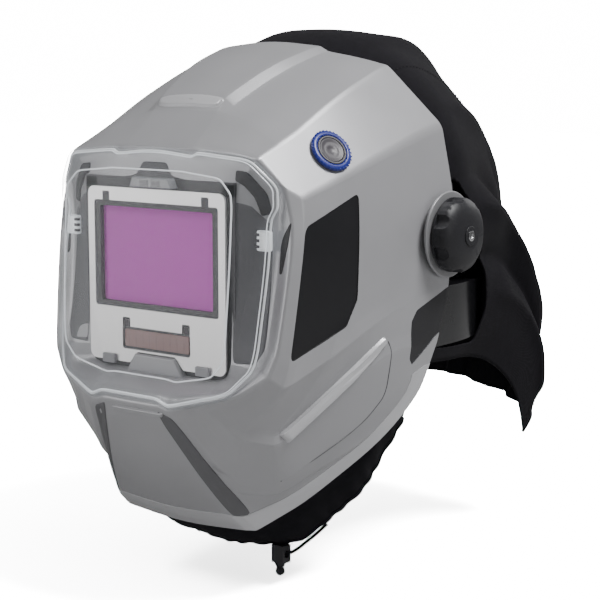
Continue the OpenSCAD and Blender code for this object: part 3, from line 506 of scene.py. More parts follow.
def round_edges(piece: bpy.types.Object, width: float, segments: int, angle: float,
                harden: bool = False) -> None:
    """Adds a bevel to the edges that are sharper than angle degrees; width is in millimetres."""
    bevel = piece.modifiers.new("round", "BEVEL")
    bevel.width, bevel.segments, bevel.angle_limit = width * MM, segments, math.radians(angle)
    bevel.limit_method = "ANGLE"
    bevel.harden_normals = harden


def merged_copy(node: str, name: str, flatten: bool) -> bpy.types.Object:
    """A copy of a CAD node with its doubles merged and, if asked, its flat faces joined."""
    work = bmesh.new()
    work.from_mesh(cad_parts[node].data)
    bmesh.ops.remove_doubles(work, verts=work.verts, dist=MERGE)
    if flatten:
        bmesh.ops.dissolve_limit(work, angle_limit=math.radians(1.0), verts=work.verts, edges=work.edges)
    data = bpy.data.meshes.new(name)
    work.to_mesh(data)
    work.free()
    return linked(name, data)


def box_piece(name: str, low: Sequence[float], high: Sequence[float], ease: float) -> bpy.types.Object:
    """A block between two corners with eased edges, in millimetres."""
    a, b = np.minimum(low, high), np.maximum(low, high)
    points = [(x, y, z) for x in (a[0], b[0]) for y in (a[1], b[1]) for z in (a[2], b[2])]
    faces = [(0, 1, 3, 2), (4, 6, 7, 5), (0, 4, 5, 1), (2, 3, 7, 6), (0, 2, 6, 4), (1, 5, 7, 3)]
    return eased(mesh_piece(name, points, faces, smooth_angle=None), ease)


def slab_piece(name: str, outline: Sequence[tuple[float, float]], front: float, back: float, ease: float
               ) -> bpy.types.Object:
    """A slab facing forward over an outline of x and z, with eased edges, in millimetres."""
    return eased(block_between(name, *([(x, y, z) for x, z in outline] for y in (front, back))), ease)


def eased(piece: bpy.types.Object, ease: float) -> bpy.types.Object:
    """Turns a closed piece's faces out and rounds its edges."""
    turned_out(piece)
    round_edges(piece, ease, 3, 30.0, harden=True)
    smooth(piece, 30.0)
    return settle(piece)


def turned_piece(name: str, profile: Sequence[tuple[float, float]], at: Sequence[float], along: Vector,
                 sides: int = 96, angle: float = 40.0) -> bpy.types.Object:
    """A turned piece: a closed profile of radius and height, spun round an axis.

    Args:
        name: The piece's name.
        profile: Radius and height of each point, in millimetres, all off the axis or ending on it.
        at: A point on the axis.
        along: The axis.
        sides: Steps round.
        angle: Edges sharper than this stay sharp.

    Returns:
        The piece as a mesh.
    """
    turn = along.to_track_quat("Z", "Y").to_matrix()
    points = [Vector(at) + turn @ Vector((x, y, h)) for r, h in profile for x, y in ring_points(r, sides)]
    count = len(profile)
    faces = [tuple(v % (count * sides) for v in f) for f in grid_faces(count + 1, sides, True)]
    piece = mesh_piece(name, points, faces, smooth_angle=None)
    work = bmesh.new()
    work.from_mesh(piece.data)
    bmesh.ops.remove_doubles(work, verts=work.verts, dist=1e-6)
    bmesh.ops.dissolve_degenerate(work, edges=work.edges, dist=1e-7)
    bmesh.ops.recalc_face_normals(work, faces=work.faces)
    work.to_mesh(piece.data)
    work.free()
    smooth(piece, angle)
    return piece


def refined(node: str, name: str, width: float, segments: int = 3, angle: float = 32.0) -> bpy.types.Object:
    """A copy of a CAD node with its outer edges rounded, which stands for the node.

    Args:
        node: The CAD node.
        name: The new piece's name.
        width: Width of the round in millimetres.
        segments: Segments in the round.
        angle: Edges sharper than this many degrees are rounded.

    Returns:
        The new piece, which doesn't ride on anything yet.
    """
    piece = merged_copy(node, name, True)
    round_edges(piece, width, segments, angle, harden=True)
    smooth(piece, angle)
    settle(piece)
    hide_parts(node)
    return piece


# --------------------------------------------------------------------------------------------------
# Finishes


class Tree:
    """Short calls that add nodes to a shader or geometry tree."""

    def __init__(self, tree: bpy.types.NodeTree) -> None:
        """Keeps the tree that nodes are added to."""
        self.tree = tree

    def add(self, kind: str, inputs: dict | None = None, **settings: object) -> bpy.types.Node:
        """Adds a node.

        Args:
            kind: The node's type.
            inputs: Values or sockets for its inputs, by name or index.
            **settings: The node's own settings.

        Returns:
            The new node.
        """
        node = self.tree.nodes.new(kind)
        for key, value in settings.items():
            setattr(node, key, value)
        for key, value in (inputs or {}).items():
            self.feed(node.inputs[key], value)
        return node

    def feed(self, socket: bpy.types.NodeSocket, value: object) -> None:
        """Links a socket to a socket, or sets its value."""
        if isinstance(value, bpy.types.NodeSocket):
            self.tree.links.new(value, socket)
        else:
            socket.default_value = value

    def math(self, operation: str, *values: object, clamp: bool = False) -> bpy.types.NodeSocket:
        """A math node on one to three values."""
        node = self.add("ShaderNodeMath", dict(enumerate(values)), operation=operation, use_clamp=clamp)
        return node.outputs[0]

    def mix(self, factor: object, first: object, second: object) -> bpy.types.NodeSocket:
        """A colour that goes from first to second with factor."""
        node = self.add("ShaderNodeMix", {0: factor, 6: first, 7: second}, data_type="RGBA")
        return node.outputs[2]

    def spread(self, value: object, low: float, high: float, to_low: float,
               to_high: float) -> bpy.types.NodeSocket:
        """Maps a value from one range to another, clamped."""
        node = self.add("ShaderNodeMapRange", {0: value, 1: low, 2: high, 3: to_low, 4: to_high})
        return node.outputs[0]


def node_group(name: str, kind: str, inputs: dict[str, tuple[str, object]], outputs: dict[str, str]) -> tuple:
    """Makes a node group with named sockets.

    Args:
        name: The group's name.
        kind: ShaderNodeTree or GeometryNodeTree.
        inputs: Socket type and first value of each input.
        outputs: Socket type of each output.

    Returns:
        The group, a Tree on it, its input node and its output node.
    """
    group = bpy.data.node_groups.new(name, kind)
    for label, (socket, value) in inputs.items():
        made = group.interface.new_socket(label, in_out="INPUT", socket_type=socket)
        if value is not None:
            made.default_value = value
    for label, socket in outputs.items():
        group.interface.new_socket(label, in_out="OUTPUT", socket_type=socket)
    tree = Tree(group)
    return group, tree, tree.add("NodeGroupInput"), tree.add("NodeGroupOutput")


FLOAT, VECTOR = "NodeSocketFloat", "NodeSocketVector"


def fine_grain() -> bpy.types.NodeTree:
    """Moulded or sprayed grain: a height, and a slow drift of tone across the piece."""
    group, tree, start, end = node_group(
        "fine_grain", "ShaderNodeTree", {"Scale": (FLOAT, 900.0), "Drift": (FLOAT, 14.0)},
        {"Height": FLOAT, "Tone": FLOAT})
    place = tree.add("ShaderNodeTexCoord").outputs["Object"]
    fine = tree.add("ShaderNodeTexNoise", {"Vector": place, "Scale": start.outputs["Scale"], "Detail": 3.0})
    slow = tree.add("ShaderNodeTexNoise", {"Vector": place, "Scale": start.outputs["Drift"], "Detail": 4.0,
                                           "Roughness": 0.6})
    tree.feed(end.inputs["Height"], fine.outputs[0])
    tree.feed(end.inputs["Tone"], slow.outputs[0])
    return group


def brushed_grain() -> bpy.types.NodeTree:
    """Fine parallel scratches that run up and down a plate."""
    group, tree, start, end = node_group(
        "brushed_grain", "ShaderNodeTree", {"Scale": (FLOAT, 1500.0)}, {"Height": FLOAT, "Tone": FLOAT})
    place = tree.add("ShaderNodeTexCoord").outputs["Object"]
    narrow = tree.add("ShaderNodeMapping", {"Vector": place, "Scale": (1.0, 1.0, 0.02)})
    lines = tree.add("ShaderNodeTexNoise", {"Vector": narrow.outputs[0], "Scale": start.outputs["Scale"],
                                            "Detail": 2.0})
    slow = tree.add("ShaderNodeTexNoise", {"Vector": place, "Scale": 18.0, "Detail": 2.0})
    tree.feed(end.inputs["Height"], lines.outputs[0])
    tree.feed(end.inputs["Tone"], slow.outputs[0])
    return group


def twill_weave() -> bpy.types.NodeTree:
    """Twill cloth: threads with their diagonal line, and a painted shade that is darker in the hollows
    between the threads.
    """
    group, tree, start, end = node_group(
        "twill_weave", "ShaderNodeTree", {"Vector": (VECTOR, None), "Threads": (FLOAT, 900.0)},
        {"Height": FLOAT, "Shade": FLOAT, "Fuzz": FLOAT})
    parts = tree.add("ShaderNodeSeparateXYZ", {0: start.outputs["Vector"]})
    turns = tree.math("MULTIPLY", start.outputs["Threads"], math.tau)
    across = tree.math("MULTIPLY", parts.outputs[0], turns)
    along = tree.math("MULTIPLY", parts.outputs[1], turns)
    threads = tree.math("MULTIPLY", tree.math("SINE", across), tree.math("SINE", along))
    line = tree.math("SINE", tree.math("MULTIPLY", tree.math("ADD", across, along), 0.5))
    height = tree.math("MULTIPLY_ADD", line, 0.3, tree.math("MULTIPLY_ADD", threads, 0.2, 0.5))
    fuzz = tree.add("ShaderNodeTexNoise", {"Vector": start.outputs["Vector"], "Scale": 160.0, "Detail": 5.0,
                                           "Roughness": 0.7})
    tree.feed(end.inputs["Height"], height)
    # Painted shade: the low parts of the weave get a darker colour
    tree.feed(end.inputs["Shade"], tree.spread(height, 0.1, 0.9, 0.75, 1.15))
    tree.feed(end.inputs["Fuzz"], fuzz.outputs[0])
    return group


def painted_edge_highlight() -> bpy.types.NodeTree:
    """A mask that is 1 on rounded outer edges, where a painted highlight makes plastic and paint look
    lighter.
    """
    group, tree, start, end = node_group("painted_edge_highlight", "ShaderNodeTree", {"Radius": (FLOAT, 0.0012)},
                                         {"Mask": FLOAT})
    soft = tree.add("ShaderNodeBevel", {"Radius": start.outputs["Radius"]}, samples=4)
    plain = tree.add("ShaderNodeNewGeometry").outputs["Normal"]
    turn = tree.add("ShaderNodeVectorMath", {0: soft.outputs[0], 1: plain}, operation="DOT_PRODUCT")
    tree.feed(end.inputs["Mask"], tree.spread(turn.outputs["Value"], 0.97, 0.8, 0.0, 1.0))
    return group


def blank_material(name: str) -> tuple[bpy.types.Material, Tree, bpy.types.Node]:
    """A new material, a Tree on its nodes and its shader."""
    made = bpy.data.materials.new(name)
    made.use_nodes = True
    return made, Tree(made.node_tree), made.node_tree.nodes.get("Principled BSDF")


def shaded(colour: Sequence[float], times: float, more: float = 0.0) -> tuple[float, ...]:
    """A colour made lighter or darker, with its alpha."""
    return tuple(min(1.0, c * times + more) for c in colour) + (1.0,)


class Surface(Enum):
    """Which relief a finish has."""

    GRAIN = "fine_grain"
    BRUSHED = "brushed_grain"


@dataclass(frozen=True)
class Finish:
    """A finish on hard pieces: its colour, gloss and relief."""

    slot: str
    colour: tuple[float, float, float]
    roughness: float
    metallic: float = 0.0
    specular: float = 0.5
    coat: float = 0.0
    coat_roughness: float = 0.12
    scale: float = 900.0
    depth: float = 0.00002
    spread: float = 0.06
    # Strength of the painted highlight that lightens rounded edges
    edge: float = 0.0
    surface: Surface = Surface.GRAIN

    def material(self, groups: dict[str, bpy.types.NodeTree]) -> bpy.types.Material:
        """Builds the material."""
        made, tree, shader = blank_material(self.slot + "_finish")
        for label, value in (("Metallic", self.metallic), ("Specular IOR Level", self.specular),
                             ("Coat Weight", self.coat), ("Coat Roughness", self.coat_roughness)):
            shader.inputs[label].default_value = value
        relief = tree.add("ShaderNodeGroup", node_tree=groups[self.surface.value])
        relief.inputs["Scale"].default_value = self.scale
        tone = tree.spread(relief.outputs["Tone"], 0.3, 0.7, 0.0, 1.0)
        colour = tree.mix(tone, shaded(self.colour, 1 - self.spread), shaded(self.colour, 1 + self.spread))
        # Painted highlight: rounded edges go towards a lighter copy of the colour
        if self.edge:
            edge_highlight_mask = tree.add("ShaderNodeGroup", node_tree=groups["painted_edge_highlight"])
            colour = tree.mix(tree.math("MULTIPLY", edge_highlight_mask.outputs[0], self.edge), colour,
                              shaded(self.colour, 1.5, 0.02))
        tree.feed(shader.inputs["Base Color"], colour)
        rough = tree.spread(relief.outputs["Tone"], 0.3, 0.7, self.roughness * 0.9,
                            min(1.0, self.roughness * 1.1))
        tree.feed(shader.inputs["Roughness"], rough)
        bump = tree.add("ShaderNodeBump", {"Strength": 1.0, "Distance": self.depth,
                                           "Height": relief.outputs["Height"]})
        tree.feed(shader.inputs["Normal"], bump.outputs[0])
        return made


@dataclass(frozen=True)
class ClearFinish:
    """Clear moulded plastic, which shows most where it is seen edge on."""

    slot: str
    colour: tuple[float, float, float]
    facing: float
    grazing: float
    roughness: float = 0.08
    # Emission strength: a glow that paints a highlight on the piece, which is no lamp
    glow: float = 0.0

    def material(self, groups: dict[str, bpy.types.NodeTree]) -> bpy.types.Material:
        """Builds the material."""
        made, tree, shader = blank_material(self.slot + "_finish")
        shader.inputs["Specular IOR Level"].default_value = 0.8
        shader.inputs["IOR"].default_value = 1.58
        shader.inputs["Emission Color"].default_value = (0.9, 0.95, 1.0, 1.0)
        shader.inputs["Emission Strength"].default_value = self.glow
        relief = tree.add("ShaderNodeGroup", node_tree=groups["fine_grain"])
        relief.inputs["Scale"].default_value = 60.0
        tone = tree.spread(relief.outputs["Tone"], 0.3, 0.7, 0.0, 1.0)
        tree.feed(shader.inputs["Base Color"], tree.mix(tone, shaded(self.colour, 1.0),
                                                        shaded(self.colour, 1.06)))
        rough = tree.spread(relief.outputs["Height"], 0.3, 0.7, self.roughness * 0.8, self.roughness * 1.2)
        tree.feed(shader.inputs["Roughness"], rough)
        turned = tree.add("ShaderNodeLayerWeight", {"Blend": 0.35}).outputs["Facing"]
        tree.feed(shader.inputs["Alpha"], tree.spread(tree.math("POWER", turned, 2.2), 0.0, 1.0, self.facing,
                                                      self.grazing))
        made.surface_render_method = "BLENDED"
        return made


@dataclass(frozen=True)
class ClothFinish:
    """Woven cloth with its threads, a soft sheen, some lint and painted shade between the threads."""

    slot: str
    colour: tuple[float, float, float]
    threads: float
    roughness: float = 0.82
    sheen: float = 0.25
    depth: float = 0.00012
    on_map: bool = True

    def material(self, groups: dict[str, bpy.types.NodeTree]) -> bpy.types.Material:
        """Builds the material."""
        made, tree, shader = blank_material(self.slot + "_finish")
        shader.inputs["Sheen Weight"].default_value = self.sheen
        shader.inputs["Sheen Roughness"].default_value = 0.45
        shader.inputs["Specular IOR Level"].default_value = 0.12
        place = tree.add("ShaderNodeTexCoord").outputs["UV" if self.on_map else "Object"]
        weave = tree.add("ShaderNodeGroup", {"Vector": place, "Threads": self.threads},
                         node_tree=groups["twill_weave"])
        # Base colour: random lint tone times the painted shade between the threads
        lint = tree.spread(weave.outputs["Fuzz"], 0.35, 0.75, 0.75, 1.35)
        lint_and_thread_shade = tree.math("MULTIPLY", lint, weave.outputs["Shade"])
        tree.feed(shader.inputs["Base Color"], tree.mix(tree.spread(lint_and_thread_shade, 0.5, 1.5, 0.0, 1.0),
                                                        shaded(self.colour, 0.45), shaded(self.colour, 1.5)))
        rough = tree.spread(weave.outputs["Fuzz"], 0.3, 0.7, self.roughness * 0.92,
                            min(1.0, self.roughness * 1.1))
        tree.feed(shader.inputs["Roughness"], rough)
        bump = tree.add("ShaderNodeBump", {"Strength": 0.8, "Distance": self.depth,
                                           "Height": weave.outputs["Height"]})
        tree.feed(shader.inputs["Normal"], bump.outputs[0])
        return made


FINISHES = {f.slot: f for f in (
    Finish("shell_silver", (0.43, 0.43, 0.447), 0.36, metallic=0.3, coat=0.12, coat_roughness=0.25,
           scale=1400.0,
           depth=0.000012, spread=0.03),
    Finish("plate_satin", (0.97, 0.965, 0.965), 0.40, metallic=0.8, depth=0.00001, spread=0.03,
           surface=Surface.BRUSHED),
    Finish("cartridge_grey", (0.075, 0.075, 0.082), 0.5, edge=0.4),
    Finish("filter_purple", (0.78, 0.13, 0.72), 0.45, specular=0.15, scale=40.0,
           depth=0.000002, spread=0.035),
    Finish("solar_brown", (0.40, 0.25, 0.24), 0.22, coat=0.6, coat_roughness=0.06, depth=0.000003,
           spread=0.08,
           surface=Surface.BRUSHED),
    Finish("sensor_black", (0.05, 0.04, 0.05), 0.12, coat=0.8, coat_roughness=0.04, depth=0.000001),
    # Lighter copy of the shell's silver: a painted highlight on lit ridges and lips
    Finish("highlight_silver", (0.62, 0.62, 0.64), 0.34, metallic=0.3, coat=0.12, depth=0.00001, spread=0.03),
    # Darker copy of the shell's silver: painted shade on bevels and under raised edges
    Finish("shaded_silver", (0.15, 0.15, 0.158), 0.4, metallic=0.3, depth=0.00001),
    # Dark grey that paints the shade in the groove and in the channel beside the cover
    Finish("painted_shade_grey", (0.05, 0.05, 0.054), 0.5),
    Finish("liner_grey", (0.13, 0.13, 0.14), 0.5, edge=0.3),
    Finish("clip_grey", (0.36, 0.36, 0.38), 0.45),
    Finish("latch_clear", (0.30, 0.31, 0.33), 0.25, coat=0.4),
    Finish("board_green", (0.02, 0.12, 0.05), 0.3, coat=0.4),
    Finish("cell_steel", (0.6, 0.6, 0.61), 0.25, metallic=1.0, surface=Surface.BRUSHED),
    Finish("window_black", (0.012, 0.012, 0.014), 0.42, specular=0.3, coat=0.08, coat_roughness=0.25,
           depth=0.000003),
    Finish("trim_black", (0.019, 0.019, 0.022), 0.42, specular=0.35, scale=1500.0, depth=0.00003,
           spread=0.12, edge=0.35),
    Finish("duct_black", (0.009, 0.009, 0.0105), 0.26, specular=0.45, coat=0.3, coat_roughness=0.2,
           depth=0.000006),
    Finish("button_grey", (0.075, 0.07, 0.08), 0.38, depth=0.00001, edge=0.3),
    Finish("ring_blue", (0.012, 0.022, 0.24), 0.36, coat=0.15, depth=0.00001, edge=0.3),
    # Darker than the shell's silver: painted shade that takes down the side light on the bosses
    Finish("boss_silver", (0.30, 0.30, 0.31), 0.38, metallic=0.35, coat=0.12, scale=1400.0, depth=0.000012,
           spread=0.03),
    Finish("spring_steel", (0.55, 0.55, 0.56), 0.22, metallic=1.0, surface=Surface.BRUSHED),
    Finish("washer_nylon", (0.62, 0.58, 0.44), 0.5),
    Finish("harness_black", (0.024, 0.024, 0.027), 0.48, depth=0.00003, spread=0.12, edge=0.3),
    Finish("seal_rubber", (0.014, 0.014, 0.015), 0.7, depth=0.00002),
    ClearFinish("clear_cover", (0.66, 0.69, 0.72), 0.03, 0.85),
    ClothFinish("shroud_black", (0.0105, 0.0098, 0.0125), 2300.0, roughness=0.9, sheen=0.02, depth=0.00006),
    ClothFinish("pad_grey", (0.05, 0.05, 0.056), 600.0, on_map=False, sheen=0.4),
    ClothFinish("cord_black", (0.008, 0.008, 0.0095), 1500.0, sheen=0.06),
    # The dark clear finish below paints shade, and the pale glowing one paints highlights on the cover's
    # edges and clips
    ClearFinish("clear_shade", (0.06, 0.065, 0.07), 0.45, 0.9, 0.1),
    ClearFinish("clear_edge_highlight", (0.9, 0.92, 0.94), 0.65, 0.95, 0.05, 0.35),
)}
GROUPS: dict[str, bpy.types.NodeTree] = {}
MADE: dict[str, bpy.types.Material] = {}


def material_of(slot: str) -> bpy.types.Material:
    """The material of a finish, which is made when it is first asked for."""
    if not GROUPS:
        for make in (fine_grain, brushed_grain, twill_weave, painted_edge_highlight):
            GROUPS[make.__name__] = make()
    if slot not in MADE:
        MADE[slot] = FINISHES[slot].material(GROUPS)
    return MADE[slot]


def dress(piece: bpy.types.Object, slot: str, finish: str = "") -> bpy.types.Object:
    """Gives a piece the finish of a slot, or another finish."""
    piece.data.materials.clear()
    piece.data.materials.append(material_of(finish or slot))
    return piece


def place(piece: bpy.types.Object, body: Body, slot: str, finish: str = "") -> bpy.types.Object:
    """Dresses a piece and lets it ride on a body."""
    dress(piece, slot, finish)
    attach(piece, body.value)
    LOG.info("%s rides on %s, finish %s", piece.name, body.value, slot)
    return piece


def dress_node(node: str, slot: str) -> None:
    """Gives a CAD node that stays the finish of its slot."""
    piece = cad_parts[node]
    if not piece.material_slots:
        piece.data.materials.append(None)
    for holder in piece.material_slots:
        holder.link = "OBJECT"
        holder.material = material_of(slot)


# --------------------------------------------------------------------------------------------------
# Geometry Nodes


def beads_along() -> bpy.types.NodeTree:
    """A Geometry Nodes tree that sets small rounded beads along a line, such as stitches, ribs or knurls.

    Returns:
        The tree, with inputs Spacing, Size and Finish.
    """
    found = bpy.data.node_groups.get("beads_along")
    if found is not None:
        return found
    group, tree, start, end = node_group(
        "beads_along", "GeometryNodeTree",
        {"Geometry": ("NodeSocketGeometry", None), "Spacing": (FLOAT, 0.004),
         "Size": (VECTOR, (0.0025, 0.0006, 0.0006)),
         "Finish": ("NodeSocketMaterial", None)},
        {"Geometry": "NodeSocketGeometry"})
    line = tree.add("GeometryNodeMeshToCurve", {0: start.outputs["Geometry"]})
    even = tree.add("GeometryNodeResampleCurve", {"Curve": line.outputs[0],
                                                  "Length": start.outputs["Spacing"]},
                    mode="LENGTH")
    bead = tree.add("GeometryNodeMeshUVSphere", {"Segments": 6, "Rings": 5, "Radius": 0.5})
    ahead = tree.add("GeometryNodeInputTangent")
    turned = tree.add("FunctionNodeAlignRotationToVector", {"Vector": ahead.outputs[0]}, axis="X",
                      pivot_axis="AUTO")
    copies = tree.add("GeometryNodeInstanceOnPoints", {
        "Points": even.outputs[0], "Instance": bead.outputs[0], "Rotation": turned.outputs[0],
        "Scale": start.outputs["Size"]})
    real = tree.add("GeometryNodeRealizeInstances", {0: copies.outputs[0]})
    dressed = tree.add("GeometryNodeSetMaterial", {"Geometry": real.outputs[0],
                                                   "Material": start.outputs["Finish"]})
    tree.feed(end.inputs["Geometry"], dressed.outputs[0])
    return group


def beaded_line(name: str, lines: Sequence[np.ndarray], spacing: float, size: Point, slot: str,
                closed: bool = False) -> bpy.types.Object:
    """Sets beads along lines.

    Args:
        name: The piece's name.
        lines: Points of each line, in metres.
        spacing: Distance from bead to bead, in metres.
        size: Length, width and height of a bead, in metres.
        slot: The finish of the beads.
        closed: Whether each line closes on itself.

    Returns:
        The beads as one plain mesh.
    """
    points, edges = [], []
    for line in lines:
        base = len(points)
        points += [tuple(p) for p in line]
        edges += [(base + i, base + i + 1) for i in range(len(line) - 1)]
        if closed:
            edges.append((base + len(line) - 1, base))
    data = bpy.data.meshes.new(name)
    data.from_pydata(points, edges, [])
    piece = linked(name, data)
    group = beads_along()
    step = piece.modifiers.new("beads", "NODES")
    step.node_group = group
    values = {"Spacing": spacing, "Size": size, "Finish": material_of(slot)}
    for item in group.interface.items_tree:
        if item.item_type == "SOCKET" and item.in_out == "INPUT" and item.name in values:
            step[item.identifier] = values[item.name]
    settle(piece)
    piece.data.shade_smooth()
    return piece


# --------------------------------------------------------------------------------------------------
# Camera, lights and floor


@dataclass
class Studio:
    """The camera, the soft lights and the pale floor."""

    camera_at: Point = (0.6838, -0.8816, 0.1123)
    looking: Point = (-0.6089, 0.7794, -0.1478)
    lens: float = 96.0
    floor_z: float = -0.232
    sky: float = 0.20
    white: float = 16.0
    paper: float = 32.0

    def build(self) -> None:
        """Makes the camera, the lights and the floor."""
        self.camera()
        self.light("key", (0.8, 0.1, 1.2), (0.0, -0.03, 0.02), 0.5, 24.0)
        self.light("front", (-0.5, -1.1, 1.35), (0.0, -0.1, 0.03), 0.6, 7.0)
        self.light("panel", (-1.2, -1.65, 0.05), (0.0, -0.15, -0.02), 0.9, 10.0)
        self.light("back", (0.2, 1.5, 0.7), (0.0, 0.1, 0.0), 0.9, 5.0)
        self.light("side", (1.75, -0.15, 0.35), (0.0, 0.0, 0.0), 0.6, 1.5)
        self.world()
        self.floor()

    def camera(self) -> None:
        """Makes the camera at the viewing angle."""
        data = bpy.data.cameras.new("camera")
        data.lens = self.lens
        data.clip_start, data.clip_end = 0.01, 50.0
        camera = linked("camera", data)
        camera.location = self.camera_at
        camera.rotation_euler = Vector(self.looking).to_track_quat("-Z", "Y").to_euler()
        bpy.context.scene.camera = camera

    def light(self, name: str, at: Point, towards: Point, size: float, power: float) -> None:
        """Makes a square soft box.

        Args:
            name: The lamp's name.
            at: Where it hangs.
            towards: The point it faces.
            size: Its side in metres.
            power: Its power in watts.
        """
        data = bpy.data.lights.new(name, "AREA")
        data.size, data.energy = size, power
        lamp = linked(name, data)
        lamp.location = at
        lamp.rotation_euler = (Vector(towards) - Vector(at)).to_track_quat("-Z", "Y").to_euler()

    def world(self) -> None:
        """A soft even sky, which is plain white behind the object."""
        world = bpy.data.worlds.new("studio")
        world.use_nodes = True
        bpy.context.scene.world = world
        tree = Tree(world.node_tree)
        shader = world.node_tree.nodes["Background"]
        shader.inputs["Color"].default_value = (1.0, 1.0, 1.0, 1.0)
        seen = tree.add("ShaderNodeLightPath").outputs["Is Camera Ray"]
        tree.feed(shader.inputs["Strength"], tree.spread(seen, 0.0, 1.0, self.sky, self.white))

    def floor(self) -> None:
        """A pale floor under the object, which runs into the white behind it."""
        half = 6.0
        corners = [(-half, -half), (half, -half), (half, half), (-half, half)]
        floor = mesh_piece("floor", [(x, y, self.floor_z) for x, y in corners], [(0, 1, 2, 3)], 1.0, None)
        finish, tree, _ = blank_material("floor_paper")
        grain = tree.add("ShaderNodeTexNoise", {"Scale": 300.0})
        paper = tree.mix(grain.outputs[0], (0.86, 0.86, 0.86, 1.0), (0.89, 0.89, 0.89, 1.0))
        seen = tree.add("ShaderNodeLightPath").outputs["Is Camera Ray"]
        strength = tree.spread(seen, 0.0, 1.0, 0.5, self.paper)
        bright = tree.add("ShaderNodeVectorMath", {0: paper, "Scale": strength}, operation="SCALE")
        shader = tree.add("ShaderNodeBsdfDiffuse", {"Color": bright.outputs[0]})
        place = tree.add("ShaderNodeTexCoord").outputs["Object"]
        away = tree.add("ShaderNodeVectorMath", {0: place}, operation="LENGTH")
        haze = tree.math("MULTIPLY", seen, tree.spread(away.outputs["Value"], 0.3, 1.1, 0.0, self.white))
        glow = tree.add("ShaderNodeEmission", {"Strength": haze})
        both = tree.add("ShaderNodeAddShader", {0: shader.outputs[0], 1: glow.outputs[0]})
        tree.feed(finish.node_tree.nodes["Material Output"].inputs["Surface"], both.outputs[0])
        floor.data.materials.append(finish)


@dataclass
class Drawstring:
    """The free end of the face seal's drawstring, with its lock and its end ball."""

    route: list[Point] = field(default_factory=lambda: DRAWSTRING)
    radius: float = CORD_RADIUS

    def build(self) -> None:
        """Makes the cord and dresses what is on it."""
        data = bpy.data.curves.new("drawstring_cord", "CURVE")
        data.dimensions = "3D"
        data.bevel_depth = self.radius * MM
        data.bevel_resolution = 3
        data.use_fill_caps = True
        line = data.splines.new("POLY")
        points = round_open(np.array(self.route, float), [0.5] * len(self.route), 3)
        line.points.add(len(points) - 1)
        for knot, point in zip(line.points, points):
            knot.co = (*(float(v) * MM for v in point), 1.0)
        cord = linked("drawstring_cord", data)
        data.materials.append(material_of("cord_black"))
        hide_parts("drawstring")
        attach(cord, Body.HELMET.value)
        lock = refined("cord_lock", "cord_lock_body", 0.8)
        place(lock, Body.HELMET, "trim_black")
        plunger = refined("cord_lock_plunger", "cord_lock_button", 0.4)
        place(plunger, Body.LOCK, "trim_black")
        dress_node("cord_end", "trim_black")


# --------------------------------------------------------------------------------------------------
# Helmet shell


@dataclass
class Skin:
    """The shell's outside, that other pieces are laid on."""

    rows: np.ndarray

    def __post_init__(self) -> None:
        """Builds the search tree once."""
        count, columns = self.rows.shape[:2]
        points = [Vector(p) for p in self.rows.reshape(-1, 3)]
        self.tree = BVHTree.FromPolygons(points, grid_faces(count, columns, True, flip=True))

    def hit(self, start: Sequence[float], direction: Sequence[float]) -> tuple[Vector, Vector] | None:
        """Where a straight line first meets the outside, and which way the skin faces there."""
        at, normal, _, _ = self.tree.ray_cast(Vector(start), Vector(direction).normalized())
        if at is None:
            return None
        return at, normal if normal.dot(Vector(direction)) < 0 else -normal

    def side(self, y: float, z: float, sign: int = 1) -> tuple[Vector, Vector] | None:
        """The point and normal on a side of the shell at y and z."""
        return self.hit((sign * 200.0, y, z), (-sign, 0, 0))

    def front(self, x: float, z: float) -> tuple[Vector, Vector] | None:
        """The point and normal on the front of the shell at x and z."""
        return self.hit((x, -300.0, z), (0, 1, 0))


@dataclass
class Patch:
    """A low raised or sunk panel that is moulded on the shell.

    Its outline is given in a flat view, and each of its points is found on the skin along that view.
    """

    name: str
    outline: Sequence[tuple[float, float]]
    share: Sequence[float]
    height: float
    slope: float
    rings: int = 7
    points: int = 96
    root: float = -0.4

    def build(self, find: Callable[[float, float], tuple[Vector, Vector] | None]) -> bpy.types.Object:
        """Makes the panel.

        Args:
            find: Gives the point and normal on the skin for a point of the flat view.

        Returns:
            The panel as a mesh.
        """
        edge = round_loop(np.array(self.outline, float), list(self.share), 6)
        flat = even_loop(edge, self.points)
        middle = flat.mean(0)
        ahead = np.roll(flat, -1, 0) - np.roll(flat, 1, 0)
        inward = np.stack([-ahead[:, 1], ahead[:, 0]], 1)
        inward /= np.linalg.norm(inward, axis=1, keepdims=True)
        inward *= np.sign(np.sum(inward * (middle - flat), axis=1).mean())
        loops = [(flat, self.root), (flat, 0.0)]
        loops += [(flat + inward * self.slope * t, self.height * t * t * (3 - 2 * t))
                  for t in (0.33, 0.66, 1.0)]
        top = flat + inward * self.slope
        loops += [(middle + (top - middle) * t, self.height) for t in np.linspace(0.93, 0.12, self.rings)]
        points = []
        for loop, lift in loops:
            for u, v in loop:
                found = find(float(u), float(v))
                at, normal = found if found else (points[-1], Vector((0, 0, 1)))
                points.append(at + normal * lift if found else at)
        count = len(flat)
        faces = grid_faces(len(loops), count, True)
        last = (len(loops) - 1) * count
        faces.append(tuple(range(last, last + count)))
        piece = mesh_piece(self.name, points, faces, smooth_angle=50.0)
        turned_out(piece)
        return piece


